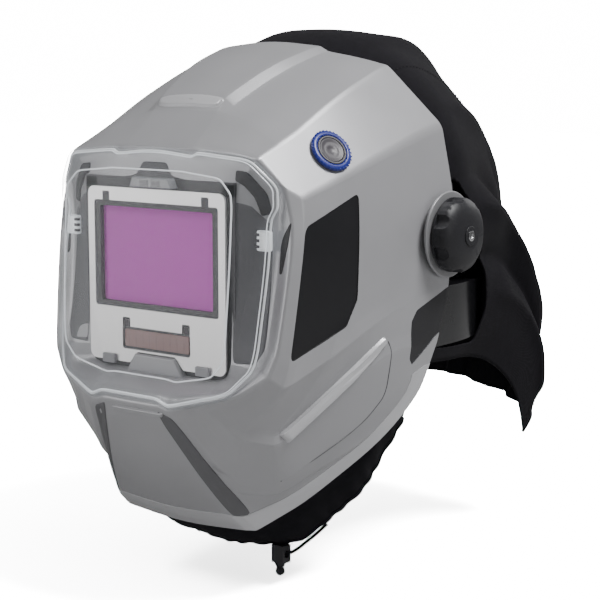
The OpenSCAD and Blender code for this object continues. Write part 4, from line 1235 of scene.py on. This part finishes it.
@dataclass
class Shell:
    """The moulded shell with its side windows, trims and raised panels."""

    wall: float = 2.6
    steps: int = 5
    window_gap: float = 0.3
    panel_sink: float = 0.5
    panel_wall: float = 2.0
    hub_hole: float = 15.1
    collar_hole: float = 10.0
    window_round: float = 0.08
    trim_round: float = 0.12
    window_in: float = 80.0
    trim_in: float = 96.0
    hub_in: float = 100.0
    reach: float = 130.0

    def __post_init__(self) -> None:
        """Joins the two halves."""
        self.grid = closed_half(list(SHELL_LINES.values()))
        self.round = [*SHELL_ROUND, *SHELL_ROUND[-2:0:-1]]
        self.skin = Skin(self.rows(0.0))

    def rows(self, lift: float) -> np.ndarray:
        """Rows of the shell's skin, lifted off its outside by some millimetres."""
        return rows_of(self.grid + outward(self.grid, True) * lift, self.round, SHELL_ALONG, True, self.steps)

    def panel_skin(self, name: str) -> bpy.types.Object:
        """The thin skin that side windows and trims are cut from."""
        inner = self.rows(-self.panel_sink - self.panel_wall)
        return skin_piece(name, self.rows(-self.panel_sink), inner, True)

    def build(self) -> None:
        """Makes the shell and everything moulded in or on it."""
        self.body()
        for side, sign in SIDES:
            self.panel(f"side_window_{side}", WINDOW_OUTLINE, self.window_round, sign, "window_black",
                       self.window_in)
            self.panel(f"rear_trim_{side}", TRIM_OUTLINE, self.trim_round, sign, "trim_black", self.trim_in)
            self.gasket(side, sign)
            self.cheek(side, sign)
            self.liner(side, sign)
        self.frame()
        self.chin()
        self.crown()
        self.lip()

    def body(self) -> None:
        """The shell itself, with its openings cut and its edges eased."""
        shell = skin_piece("shell_body", self.rows(0.0), self.rows(-self.wall), True)
        tools = []
        openings = ((side_outline(WINDOW_OUTLINE, self.window_round, 0), self.window_in),
                    (side_outline(TRIM_OUTLINE, self.trim_round, 0), self.trim_in),
                    (ring_points(self.hub_hole, 64), self.hub_in))
        for _, sign in SIDES:
            tools += [prism(outline, sign * near, sign * self.reach) for outline, near in openings]
        bore = disc_tool(BUTTON_AT, BUTTON_NORMAL, self.collar_hole, -12, 18)
        cut(shell, [*tools, bore])
        round_edges(shell, 0.7, 3, 52)
        even = shell.modifiers.new("even", "WEIGHTED_NORMAL")
        even.keep_sharp = True
        smooth(shell, 60)
        settle(shell)
        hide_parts("shell")
        place(shell, Body.HELMET, "shell_silver")

    def panel(self, node: str, outline: Sequence[tuple[float, float]], share: float, sign: int, slot: str,
              near: float) -> None:
        """A window or trim, cut from the panel skin so that it follows the shell."""
        piece = self.panel_skin(node + "_panel")
        tool = prism(side_outline(outline, share, -self.window_gap), sign * near, sign * self.reach)
        cut(piece, [tool], keep=True)
        round_edges(piece, 0.6, 3, 50)
        smooth(piece, 50)
        settle(piece)
        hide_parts(node)
        place(piece, Body.HELMET, slot)

    def gasket(self, side: str, sign: int) -> None:
        """The thin dark gasket in the gap round a side window."""
        lines = []
        for y, z in even_loop(side_outline(WINDOW_OUTLINE, self.window_round, 0.1), 150):
            found = self.skin.side(float(y), float(z), sign)
            if found:
                lines.append(found[0] - found[1] * 0.55)
        bead = tube(f"window_gasket_{side}", lines, 0.55, 8, closed=True)
        place(bead, Body.HELMET, "seal_rubber")

    def cheek(self, side: str, sign: int) -> None:
        """The raised ridge on a cheek, in a lighter silver as a painted highlight, and the dark line that
        runs back and down from it, a painted shadow under the panel's edge.
        """
        ridge = Patch(f"cheek_ridge_{side}", RIDGE_OUTLINE, RIDGE_SHARE, 2.0, 1.6, 3)
        bead = ridge.build(lambda y, z: self.skin.side(y, z, sign))
        place(bead, Body.HELMET, "shell_silver", "highlight_silver")
        line = []
        for y, z in round_open(np.array(CHEEK_LINE, float), CHEEK_LINE_SHARE, 8):
            found = self.skin.side(float(y), float(z), sign)
            if found:
                line.append(found[0] - found[1] * 0.15)
        place(tube(f"cheek_line_{side}", line, 0.45, 6), Body.HELMET, "shell_silver", "shaded_silver")

    def liner(self, side: str, sign: int) -> None:
        """The dark liner beside the cartridge, and dark patches that paint the shade of the groove in its
        corner and of the channel beside the cover.
        """
        for name, outline, share, lift, finish in (
                ("viewport_liner", LINER_OUTLINE, 0.12, 0.35, "liner_grey"),
                ("viewport_groove_shade", GROOVE_OUTLINE, 0.2, 0.7, "painted_shade_grey"),
                ("cover_channel_shade", CHANNEL_SHADE_OUTLINE, 0.3, 0.3, "painted_shade_grey")):
            patch = Patch(f"{name}_{side}", [(x * sign, z) for x, z in outline], [share] * len(outline),
                          lift, 0.6)
            place(patch.build(self.skin.front), Body.HELMET, "cartridge_grey", finish)

    def frame(self) -> None:
        """The dark frame round the cartridge, and the hump over it."""
        bars = (((53, -150.6, -84), (63, -148.6, 39)), ((-63, -150.6, -84), (-53, -148.6, 39)),
                ((-63, -151.6, -86), (63, -149.6, -75)), ((-63, -150.6, 31), (63, -148.6, 40)))
        for k, (low, high) in enumerate(bars):
            place(box_piece(f"viewport_frame_{k + 1}", low, high, 0.3), Body.HELMET, "cartridge_grey")
        hump = Patch("viewport_hump", HUMP_OUTLINE, [0.15] * len(HUMP_OUTLINE), 0.5, 0.8, 3)
        place(hump.build(self.skin.front), Body.HELMET, "cartridge_grey", "liner_grey")

    def crown(self) -> None:
        """The lip at the front of the raised crown panel, in a lighter silver as a painted highlight."""
        lip = Patch("crown_panel_lip", CROWN_LIP, [0.35, 0.3, 0.3, 0.35], 1.1, 1.5, 3)
        found = lip.build(lambda x, y: self.skin.hit((x, y, 300.0), (0, 0, -1)))
        place(found, Body.HELMET, "shell_silver", "highlight_silver")

    def lip(self) -> None:
        """The rolled lip along the shell's lower edge, which is painted a little brighter as a highlight
        where it flares out.
        """
        per_round = self.steps + 1
        last = 1 + (len(SHELL_ALONG) - 2) * per_round
        rows = slice(last - per_round, last + 1)
        columns = slice(LIP_FROM * per_round, (len(self.round) - LIP_FROM + 1) * per_round)
        band = skin_piece("shell_lip_band", self.rows(0.25)[rows, columns], self.rows(-0.4)[rows, columns],
                          False)
        place(band, Body.HELMET, "shell_silver", "highlight_silver")

    def chin(self) -> None:
        """The bar and the shallow frame moulded on the chin; the frame's strips are a darker silver, painted
        shade on their bevels.
        """
        bar = Patch("chin_bar", [(-16, -104.6), (26, -104.6), (27.5, -101), (-16, -101)], [0.15] * 4, 1.2,
                    0.9, 3)
        place(bar.build(self.skin.front), Body.HELMET, "shell_silver")
        for side, sign in SIDES:
            strip = Patch(f"chin_strip_{side}", [(x * sign, z) for x, z in STRIP_OUTLINE], [0.15] * 4, 0.45,
                          0.4, 3)
            place(strip.build(self.skin.front), Body.HELMET, "shell_silver", "shaded_silver")


@dataclass
class GrindButton:
    """The push button in the shell: collar, knurled blue ring and dished cap."""

    spring_foot: float = 9.0
    spring_keep: float = 0.68

    def build(self) -> None:
        """Makes the collar, the ring with its knurls, the cap and its spring."""
        collar = refined("button_collar", "button_collar_ring", 0.35)
        place(collar, Body.HELMET, "button_grey")
        profile = [(10.0, 0.5), (13.2, 0.5), (13.9, 0.9), (13.95, 1.7), (13.3, 2.5), (12.2, 2.95),
                   (11.2, 3.05), (10.4, 2.8), (10.0, 2.3)]
        ring = turned_piece("button_ring_body", profile, BUTTON_AT, BUTTON_NORMAL, 120, 60)
        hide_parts("button_ring")
        place(ring, Body.HELMET, "ring_blue")
        turn = BUTTON_NORMAL.to_track_quat("Z", "Y").to_matrix()
        for name, radius, height, count, size in (
                ("button_ring_knurls", 13.3, 1.9, 34, (0.0014, 0.0016, 0.0022)),
                ("button_ring_scallops", 10.7, 2.75, 20, (0.0017, 0.0011, 0.0008))):
            circle = [(Vector(BUTTON_AT) + turn @ Vector((x, y, height))) * MM
                      for x, y in ring_points(radius, 96)]
            beads = beaded_line(name, [np.array(circle)], math.tau * radius * MM / count, size, "ring_blue",
                                True)
            place(beads, Body.HELMET, "ring_blue")
        profile = [(0.0, -2.2), (8.3, -2.2), (8.5, -2.0), (8.5, 2.35), (8.2, 2.75), (7.6, 2.8), (6.6, 2.3),
                   (4.8, 2.1), (3.6, 2.35), (2.4, 1.9), (1.2, 1.65), (0.0, 1.6)]
        cap = turned_piece("grind_button_cap", profile, BUTTON_AT, BUTTON_NORMAL, 96, 50)
        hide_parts("grind_button")
        place(cap, Body.GRIND, "button_grey")
        coil = refined("button_spring", "button_spring_coil", 0.05)
        place(coil, Body.HELMET, "spring_steel")
        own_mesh(coil)


# --------------------------------------------------------------------------------------------------
# Clear cover and filter cartridge


@dataclass
class Cover:
    """The clear front cover, its edge and its side clips."""

    wall: float = 2.2
    flange: float = 1.4
    lip: float = 0.05
    step_in: float = 0.16
    pane_y: float = -163.5
    lean: float = 0.062
    steps: int = 6

    def lines(self) -> np.ndarray:
        """Each line runs from the back of the rim to the edge of the pane."""
        half = []
        for rim, (x, z) in zip(COVER_RIM, COVER_PANE):
            edge, pane = np.array(rim, float), np.array((x, self.pane_y + self.lean * z, z))
            half.append([tuple(edge + (0, self.flange, 0)), tuple(edge),
                         tuple(edge + (pane - edge) * self.lip),
                         tuple(edge + (pane - edge) * self.step_in - (0, self.flange * 1.5, 0)), tuple(pane)])
        return closed_half(half)

    def build(self) -> None:
        """Makes the cover and what holds it."""
        shares, along = [*COVER_ROUND, *COVER_ROUND[-2:0:-1]], [0, 0.25, 0.3, 0.35, 0]
        grid = self.lines()
        outer = self.with_pane(rows_of(grid, shares, along, True, self.steps))
        sunk = grid - outward(grid, True) * self.wall
        inner = self.with_pane(rows_of(sunk, shares, along, True, self.steps))
        rows, columns = outer.shape[:2]
        base, last = rows * columns, (rows - 1) * columns
        faces = grid_faces(rows, columns, True, flip=True)
        faces += [tuple(i + base for i in f[::-1]) for f in faces]
        faces += [(j, base + j, base + (j + 1) % columns, (j + 1) % columns) for j in range(columns)]
        faces += [tuple(range(last, last + columns)), tuple(range(base + last, base + last + columns))]
        points = np.concatenate([outer.reshape(-1, 3), inner.reshape(-1, 3)])
        cover = mesh_piece("clear_cover_shell", points, faces, smooth_angle=35.0)
        turned_out(cover)
        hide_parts("front_cover_lens")
        place(cover, Body.HELMET, "clear_cover")
        self.edges(rows_of(grid, shares, along, True, self.steps))
        self.clips()

    @staticmethod
    def with_pane(rows: np.ndarray) -> np.ndarray:
        """Adds rows that close in on the middle of the pane."""
        middle = rows[-1].mean(0)
        return np.concatenate([rows, [middle + (rows[-1] - middle) * t for t in (0.985, 0.9, 0.6, 0.25)]])

    def edges(self, rows: np.ndarray) -> None:
        """Beads on the rim's edge, on two lines beside it and on the pane's edge: the pale ones glow as
        painted highlights and the dark one is painted shade.
        """
        for name, row, radius, shift, finish in (
                ("cover_rim_highlight", 2, 0.75, -0.2, "clear_edge_highlight"),
                ("cover_rim_shade", 4, 0.55, -0.1, "clear_shade"),
                ("cover_rim_highlight_line", -9, 0.4, 0.0, "clear_edge_highlight"),
                ("cover_pane_edge_highlight", -1, 0.55, 0.0, "clear_edge_highlight")):
            bead = tube(name, rows[row] + (0, shift, 0), radius, 6, closed=True)
            place(bead, Body.HELMET, "clear_cover", finish)

    def clips(self) -> None:
        """A ribbed clear clip on each side."""
        for side, sign in SIDES:
            block = box_piece(f"cover_clip_{side}", (sign * 76, -146.5, -0.5), (sign * 86, -142.2, 12), 1.2)
            # The clip glows like the cover's edges, a painted highlight
            place(block, Body.HELMET, "clear_cover", "clear_edge_highlight")
            for k, z in enumerate((2.2, 5.8, 9.4)):
                rib = box_piece(f"cover_clip_{side}_slot_{k + 1}", (sign * 75.2, -147.2, z - 0.9),
                                (sign * 78.6, -144.6, z + 0.9), 0.35)
                place(rib, Body.HELMET, "cartridge_grey")


@dataclass
class Cartridge:
    """The auto-darkening filter cartridge behind the cover."""

    notch_x: float = 42.0

    def build(self) -> None:
        """Makes the cartridge's pieces."""
        for node, name, ease, slot in (
                ("filter_housing", "filter_housing_body", 0.5, "cartridge_grey"),
                ("face_plate", "face_plate_sheet", 0.3, "plate_satin"),
                ("filter_bezel", "filter_bezel_frame", 0.4, "cartridge_grey"),
                ("filter_glass", "filter_glass_pane", 0.4, "filter_purple"),
                ("solar_cell", "solar_cell_panel", 0.2, "solar_brown"),
                ("arc_sensors", "arc_sensor_windows", 0.4, "sensor_black"),
                ("retaining_clips", "retaining_clip_pair", 0.6, "clip_grey"),
                ("circuit_board", "circuit_board_sheet", 0.15, "board_green"),
                ("batteries", "battery_pair", 0.3, "cell_steel")):
            place(refined(node, name, ease), Body.HELMET, slot)
        for node, body in (("button_power", "power_key"), ("button_mode", "mode_key"),
                           ("button_up", "up_key")):
            key = refined(node, node + "_cap", 0.35)
            dress(key, "button_grey")
            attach(key, body)
        dress_node("inner_cover_plate", "clear_cover")
        self.notches()
        self.latch()
        self.ledge()
        self.cell_lines()

    def notches(self) -> None:
        """The two square notches over the bezel."""
        low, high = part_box("filter_bezel")
        top, front = high.z / MM, low.y / MM
        for side, x in (("left", self.notch_x), ("right", -self.notch_x)):
            corners = [(x - 3, top - 1), (x + 3, top - 1), (x + 3, top + 6), (x - 3, top + 6)]
            notch = slab_piece(f"bezel_notch_{side}", corners, front - 0.6, front + 0.8, 0.5)
            place(notch, Body.HELMET, "cartridge_grey")

    def latch(self) -> None:
        """The latch over the plate, with two moulded windows."""
        latch = refined("cover_latch", "cover_latch_body", 0.8)
        place(latch, Body.HELMET, "latch_clear")
        low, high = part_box("cover_latch")
        middle, front = (low.z + high.z) / 2 / MM, low.y / MM
        for k, x in enumerate((-8.5, 1.5)):
            corners = [(x, middle - 2), (x + 7, middle - 2), (x + 7, middle + 1.6), (x, middle + 1.6)]
            pane = slab_piece(f"cover_latch_window_{k + 1}", corners, front - 0.35, front + 0.5, 0.3)
            place(pane, Body.HELMET, "clip_grey")

    def ledge(self) -> None:
        """The silver finger ledge under the plate."""
        outline = [(-25, -84), (25, -84), (17, -71.8), (-17, -71.8)]
        ledge = slab_piece("viewport_ledge", outline, -156.2, -150.9, 1.6)
        place(ledge, Body.HELMET, "shell_silver")

    def cell_lines(self) -> None:
        """Fine printed fingers across the solar cell."""
        low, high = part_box("solar_cell")
        front = low.y - 0.00003
        lines = [np.array([(x, front, low.z + 0.0006), (x, front, high.z - 0.0006)])
                 for x in np.linspace(low.x + 0.004, high.x - 0.004, 9)]
        fingers = beaded_line("solar_cell_fingers", lines, 0.0009, (0.0012, 0.0002, 0.0002), "clip_grey")
        place(fingers, Body.HELMET, "clip_grey")


# --------------------------------------------------------------------------------------------------
# Pivots, headgear and air path


@dataclass
class Pivots:
    """Bosses, studs, washers and tension knobs on both sides."""

    def build(self) -> None:
        """Makes both sides."""
        for side, sign, body in (("left", 1, Body.KNOB_LEFT), ("right", -1, Body.KNOB_RIGHT)):
            place(refined(f"pivot_boss_{side}", f"pivot_boss_{side}_ring", 0.9), Body.HELMET, "boss_silver")
            place(refined(f"pivot_stud_{side}", f"pivot_stud_{side}_pin", 0.4), Body.HEADGEAR, "spring_steel")
            place(refined(f"pivot_plate_{side}", f"pivot_plate_{side}_bracket", 1.0), Body.HEADGEAR,
                  "harness_black")
            place(refined(f"knob_{side}", f"tension_knob_{side}", 0.9, 4), body, "trim_black")
            place(refined(f"knob_cap_{side}", f"tension_knob_{side}_cap", 0.5), body, "trim_black")
            self.marks(side, sign, body)
        dress_node("friction_washers", "washer_nylon")

    def marks(self, side: str, sign: int, body: Body) -> None:
        """A frame of two low bars and a screw slot on the knob's face."""
        low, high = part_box(f"knob_{side}")
        top = (high.x if sign > 0 else low.x) / MM
        spans = (((-9.5, 6.4), (8.2, 8.2)), ((-9.5, -9.6), (-9.5, 5.2)))
        for k, (start, end) in enumerate(spans):
            line = [(top - sign * (0.45 + 0.0042 * (y * y + z * z)), y, z)
                    for y, z in np.linspace(start, end, 14)]
            place(tube(f"tension_knob_{side}_bar_{k + 1}", line, 0.55, 8), body, "trim_black")
        low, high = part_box(f"knob_cap_{side}")
        at = (high.x if sign > 0 else low.x) / MM
        profile = [(0.0, -0.4), (3.4, -0.4), (3.4, 0.35), (2.9, 0.6), (1.5, 0.55), (1.2, 0.1), (0.0, 0.1)]
        socket = turned_piece(f"tension_knob_{side}_screw", profile, (at, 0, 0), Vector((sign, 0, 0)), 48)
        place(socket, body, "spring_steel")


@dataclass
class Headgear:
    """Headband, crown straps, pads and the rear ratchet."""

    rib_in: float = 0.0006
    rack_from: float = -0.012
    rack_to: float = 0.018

    def build(self) -> None:
        """Makes the headgear."""
        place(refined("headband", "headband_strip", 0.7), Body.HEADGEAR, "harness_black")
        place(refined("crown_straps", "crown_strap_pair", 0.5), Body.HEADGEAR, "harness_black")
        place(refined("rear_cradle", "rear_cradle_strip", 0.7), Body.CRADLE, "harness_black")
        place(refined("ratchet_housing", "ratchet_housing_body", 2.0, 4), Body.CRADLE, "trim_black")
        knob = refined("ratchet_knob", "ratchet_knob_wheel", 1.2, 4)
        place(knob, Body.RATCHET, "trim_black")
        place(refined("shroud_strip", "shroud_clip_strip", 0.4), Body.HELMET, "harness_black")
        self.knurls()
        pad("brow_pad", "brow_pad_cushion", Body.HEADGEAR)
        pad("rear_pad", "rear_pad_cushion", Body.CRADLE)
        self.rack()

    def knurls(self) -> None:
        """Ribs round the rear knob."""
        low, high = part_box("ratchet_knob")
        middle, radius = (low + high) / 2, (high.x - low.x) / 2
        ring = [(middle.x + x, high.y - self.rib_in, middle.z + z)
                for x, z in ring_points(radius * 0.82, 90)]
        beads = beaded_line("ratchet_knob_ribs", [np.array(ring)], 0.0035, (0.0014, 0.0052, 0.0016),
                            "trim_black", True)
        place(beads, Body.RATCHET, "trim_black")

    def rack(self) -> None:
        """Rows of small teeth on both arms of the band, where the rear cradle slides."""
        low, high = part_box("headband")
        z = (low.z + high.z) / 2
        lines = [np.array([(sign * (high.x - 0.0001), y, z) for y in (self.rack_from, self.rack_to)])
                 for _, sign in SIDES]
        teeth = beaded_line("headband_rack_teeth", lines, 0.003, (0.0011, 0.0008, 0.007), "harness_black")
        place(teeth, Body.HEADGEAR, "harness_black")


def pad(node: str, name: str, body: Body, voxel: float = 0.0028, reach: float = 0.0016) -> bpy.types.Object:
    """A foam pad under cloth, swollen a little by a short cloth simulation.

    Args:
        node: The CAD node that the pad stands for.
        name: The pad's name.
        body: The body that it rides on.
        voxel: Size of the cloth's mesh in metres.
        reach: How far the swelling may move a point, in metres.

    Returns:
        The finished pad.
    """
    piece = merged_copy(node, name, False)
    remesh = piece.modifiers.new("remesh", "REMESH")
    remesh.mode, remesh.voxel_size = "VOXEL", voxel
    soften = piece.modifiers.new("soften", "SMOOTH")
    soften.factor, soften.iterations = 0.5, 6
    settle(piece)
    rest = np.array([v.co for v in piece.data.vertices])
    swell(piece)
    moved = np.array([v.co for v in piece.data.vertices])
    shift = moved - rest
    far = np.linalg.norm(shift, axis=1, keepdims=True)
    final = rest + shift * np.minimum(1.0, reach / np.maximum(far, 1e-9))
    piece.data.vertices.foreach_set("co", final.astype(np.float32).ravel())
    piece.data.update()
    finer = piece.modifiers.new("finer", "SUBSURF")
    finer.levels = finer.render_levels = 1
    settle(piece)
    piece.data.shade_smooth()
    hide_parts(node)
    place(piece, body, "pad_grey")
    return piece


def swell(piece: bpy.types.Object, frames: int = 16) -> None:
    """Blows a closed cloth up a little and keeps the result."""
    cloth = piece.modifiers.new("cloth", "CLOTH")
    settings = cloth.settings
    settings.quality = 4
    settings.use_pressure = True
    settings.uniform_pressure_force = 4.0
    settings.effector_weights.gravity = 0.0
    settings.tension_stiffness = settings.compression_stiffness = 20.0
    cloth.point_cache.frame_start, cloth.point_cache.frame_end = 1, frames
    scene = bpy.context.scene
    for frame in range(1, frames + 1):
        scene.frame_set(frame)
    settle(piece)
    scene.frame_set(1)


@dataclass
class AirPath:
    """The inlet behind the neck, the two side ducts and their outlets."""

    def build(self) -> None:
        """Makes the air path."""
        place(refined("air_manifold", "air_manifold_box", 2.0, 4), Body.HEADGEAR, "duct_black")
        for side in ("left", "right"):
            place(refined(f"air_duct_{side}", f"air_duct_{side}_pipe", 3.6, 6, 50), Body.HEADGEAR,
                  "duct_black")
            place(refined(f"air_outlet_{side}", f"air_outlet_{side}_grille", 0.5), Body.HEADGEAR,
                  "trim_black")
        place(refined("duct_screws", "duct_screw_set", 0.3), Body.HEADGEAR, "spring_steel")
        dress_node("inlet_seal", "seal_rubber")


# --------------------------------------------------------------------------------------------------
# Cloth


def smooth_step(value: np.ndarray, low: float, high: float) -> np.ndarray:
    """Goes smoothly from 0 at low to 1 at high."""
    t = np.clip((value - low) / (high - low), 0, 1)
    return t * t * (3 - 2 * t)


def even_grid(rows: np.ndarray, down: int, across: int) -> np.ndarray:
    """Resamples a grid of rows evenly both ways."""
    return even_rows(even_rows(rows, across).transpose(1, 0, 2), down).transpose(1, 0, 2)


def cloth_piece(name: str, rows: np.ndarray, thick: float) -> bpy.types.Object:
    """Makes a sheet of cloth with a thickness and a map in metres.

    Args:
        name: The piece's name.
        rows: Points of its outside, in millimetres.
        thick: Its thickness in millimetres.

    Returns:
        The sheet as a closed mesh with a UV map that follows the threads.
    """
    down, across = rows.shape[:2]
    piece = mesh_piece(name, rows.reshape(-1, 3), grid_faces(down, across, False, flip=True),
                       smooth_angle=None)
    along_u = np.array([run_along(row) for row in rows])
    along_u -= along_u[:, across // 2: across // 2 + 1]
    along_v = np.array([run_along(rows[:, j]) for j in range(across)]).T
    flat = np.stack([along_u, along_v], 2).reshape(-1, 2) * MM
    layer = piece.data.uv_layers.new(name="cut")
    for loop in piece.data.loops:
        layer.data[loop.index].uv = flat[loop.vertex_index]
    wall = piece.modifiers.new("wall", "SOLIDIFY")
    wall.thickness, wall.offset = thick * MM, -1.0
    settle(piece)
    piece.data.shade_smooth()
    return piece


@dataclass
class Fold:
    """A soft fold: where it starts and ends across the cloth, its width and its height."""

    start: float
    end: float
    width: float
    height: float
    top: float = 0.05
    low: float = 1.0

    def lift(self, u: np.ndarray, v: np.ndarray) -> np.ndarray:
        """How far the fold lifts the cloth at u across and v down it."""
        middle = self.start + (self.end - self.start) * v
        shape = np.exp(-np.abs((u - middle) / (self.width * (0.6 + 0.6 * v))) ** 1.35)
        fade = smooth_step(v, self.top, self.top + 0.25) * (1 - smooth_step(v, self.low, self.low + 0.2))
        return self.height * shape * fade


@dataclass
class Shroud:
    """The cloth hood over the back of the head, hung from the shell's rear edge."""

    thick: float = 1.2
    down: int = 120
    across: int = 190
    hem: float = 11.0
    flare: float = 11.0
    wrinkles: int = 26
    fullness: float = 1.08
    cut_share: float = 0.97
    drop: float = 330.0
    gap_in: float = 60.0
    gap_out: float = 140.0
    seam_columns: int = 26
    seed: int = 4
    folds: tuple[Fold, ...] = (
        Fold(0.18, 0.05, 0.05, 5.0), Fold(0.42, 0.20, 0.05, 4.5), Fold(0.60, 0.33, 0.05, -4.5),
        Fold(0.66, 0.52, 0.05, 5.5), Fold(0.80, 0.62, 0.05, -4.5), Fold(0.88, 0.74, 0.04, 3.5, 0.3),
        Fold(0.30, 0.42, 0.04, -3.5, 0.3), Fold(-0.12, -0.04, 0.06, 4.5), Fold(-0.35, -0.18, 0.05, -4.0),
        Fold(-0.50, -0.32, 0.05, 5.0), Fold(-0.68, -0.50, 0.05, -4.0), Fold(-0.82, -0.66, 0.05, 4.5),
        Fold(0.02, 0.10, 0.04, -3.5, 0.35),
    )

    def rows(self) -> np.ndarray:
        """Rows of the hood with its folds."""
        grid = open_half(SHROUD_LINES)
        edge = [0, 0.5, 0.5, 0.5, 0.4, 0.5, 0.5, 0.5, 0.4, 0.5, 0.5, 0.5, 0]
        rows = rows_of(grid, edge, [0, 0.4, 0.5, 0.5, 0.5, 0.5, 0.5, 0], False, 8)
        rows = even_grid(rows, self.down, self.across)
        u, v = np.meshgrid(np.linspace(-1, 1, self.across), np.linspace(0, 1, self.down))
        out = smooth_step(v, 0.3, 1.0) * self.flare
        rows = rows + np.stack([out * 0.5 * rows[..., 0] / 95, out * 0.85, -out * 0.1], 2)
        lift = sum((1.3 * fold.lift(u, v) for fold in self.folds), np.zeros_like(u))
        random = np.random.default_rng(self.seed)
        for _ in range(self.wrinkles):
            at_u, at_v = random.uniform(-1, 1), random.uniform(0.12, 1)
            wide, tall = random.uniform(0.03, 0.09), random.uniform(0.05, 0.16)
            high = random.uniform(-2.2, 2.2)
            lean = random.uniform(-0.5, 0.5)
            lift += high * np.exp(-((u - at_u - lean * (v - at_v)) / wide) ** 2 - ((v - at_v) / tall) ** 2)
        lift *= smooth_step(v, 0.0, 0.12) * (1 - 0.6 * smooth_step(np.abs(u), 0.9, 1.0))
        normal = sheet_normals(rows)
        return rows + normal * lift[..., None]

    def build(self) -> None:
        """Makes the hood, its hem, its seams and their stitches."""
        rows = self.rows()
        cloth = cloth_piece("shroud_cloth", rows, self.thick)
        gap = side_outline(SHROUD_GAP, 0.15, 0)
        cut(cloth, [prism(gap, sign * self.gap_in, sign * self.gap_out) for _, sign in SIDES])
        cloth.data.shade_smooth()
        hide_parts("shroud")
        dress(cloth, "shroud_black")
        pieces = [cloth, *self.trims(rows)]
        for piece in pieces:
            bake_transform(piece)

    def trims(self, rows: np.ndarray) -> list[bpy.types.Object]:
        """The hem's roll and rows of stitches along the hem and the seams."""
        normal = sheet_normals(rows)
        lifted = (rows + normal * 0.25) * MM
        roll = tube("shroud_hem_roll", rows[-1] - normal[-1] * self.thick / 2, 1.3, 8)
        dress(roll, "shroud_black")
        inside = self.down - 1 - round(self.hem / self.drop * self.down)
        column = self.across // 2
        seams = [lifted[inside, 2:-2], lifted[inside - 2, 2:-2], lifted[8:inside, column + self.seam_columns],
                 lifted[8:inside, column - self.seam_columns]]
        thread = beaded_line("shroud_stitches", seams, 0.0042, (0.0028, 0.0006, 0.0006), "cord_black")
        dress(thread, "cord_black")
        return [roll, thread]


@dataclass
class FaceSeal:
    """The gathered cloth seal under the chin, closed with a drawstring."""

    thick: float = 1.2
    down: int = 40
    across: int = 260
    gathers: int = 46
    fuller: float = 1.1
    deeper: float = 1.2

    def rows(self) -> np.ndarray:
        """Rows of the seal with its gathers."""
        grid = open_half(SEAL_LINES)
        rows = rows_of(grid, [0, *([0.5] * (len(grid) - 2)), 0], [0, 0.5, 0.5, 0], False, 8)
        rows = even_grid(rows, self.down, self.across)
        u, v = np.meshgrid(np.linspace(0, 1, self.across), np.linspace(0, 1, self.down))
        wander = 0.35 * np.sin(u * 23.0) + 0.25 * np.sin(u * 57.0 + 1.0)
        pleat = np.sin(u * math.tau * self.gathers / 2 + wander * 3.0)
        lift = 0.55 * pleat * smooth_step(v, 0.25, 0.95)
        lift = lift + 1.5 * np.sin(u * 40.0 + v * 3.0) * smooth_step(v, 0.1, 0.5) * 0.6
        normal = sheet_normals(rows)
        return rows + normal * lift[..., None]

    def build(self) -> None:
        """Makes the seal, its casing and its stitches."""
        rows = self.rows()
        cloth = cloth_piece("face_seal_cloth", rows, self.thick)
        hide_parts("face_seal")
        place(cloth, Body.HELMET, "shroud_black")
        normal = sheet_normals(rows)
        casing = tube("face_seal_casing", rows[-1] - normal[-1] * self.thick / 2, 1.9, 10)
        place(casing, Body.HELMET, "shroud_black")
        line = (rows + normal * 0.25)[-5, 3:-3] * MM
        thread = beaded_line("face_seal_stitches", [line], 0.0036, (0.0024, 0.0005, 0.0005), "cord_black")
        place(thread, Body.HELMET, "cord_black")


def main() -> None:
    """Builds everything in order."""
    Studio().build()
    Drawstring().build()
    for assembly in (Shell(), GrindButton(), Cover(), Cartridge(), Pivots(), Headgear(), AirPath(), Shroud(),
                     FaceSeal()):
        LOG.info("building %s", type(assembly).__name__)
        assembly.build()


if __name__ == "__main__":
    main()
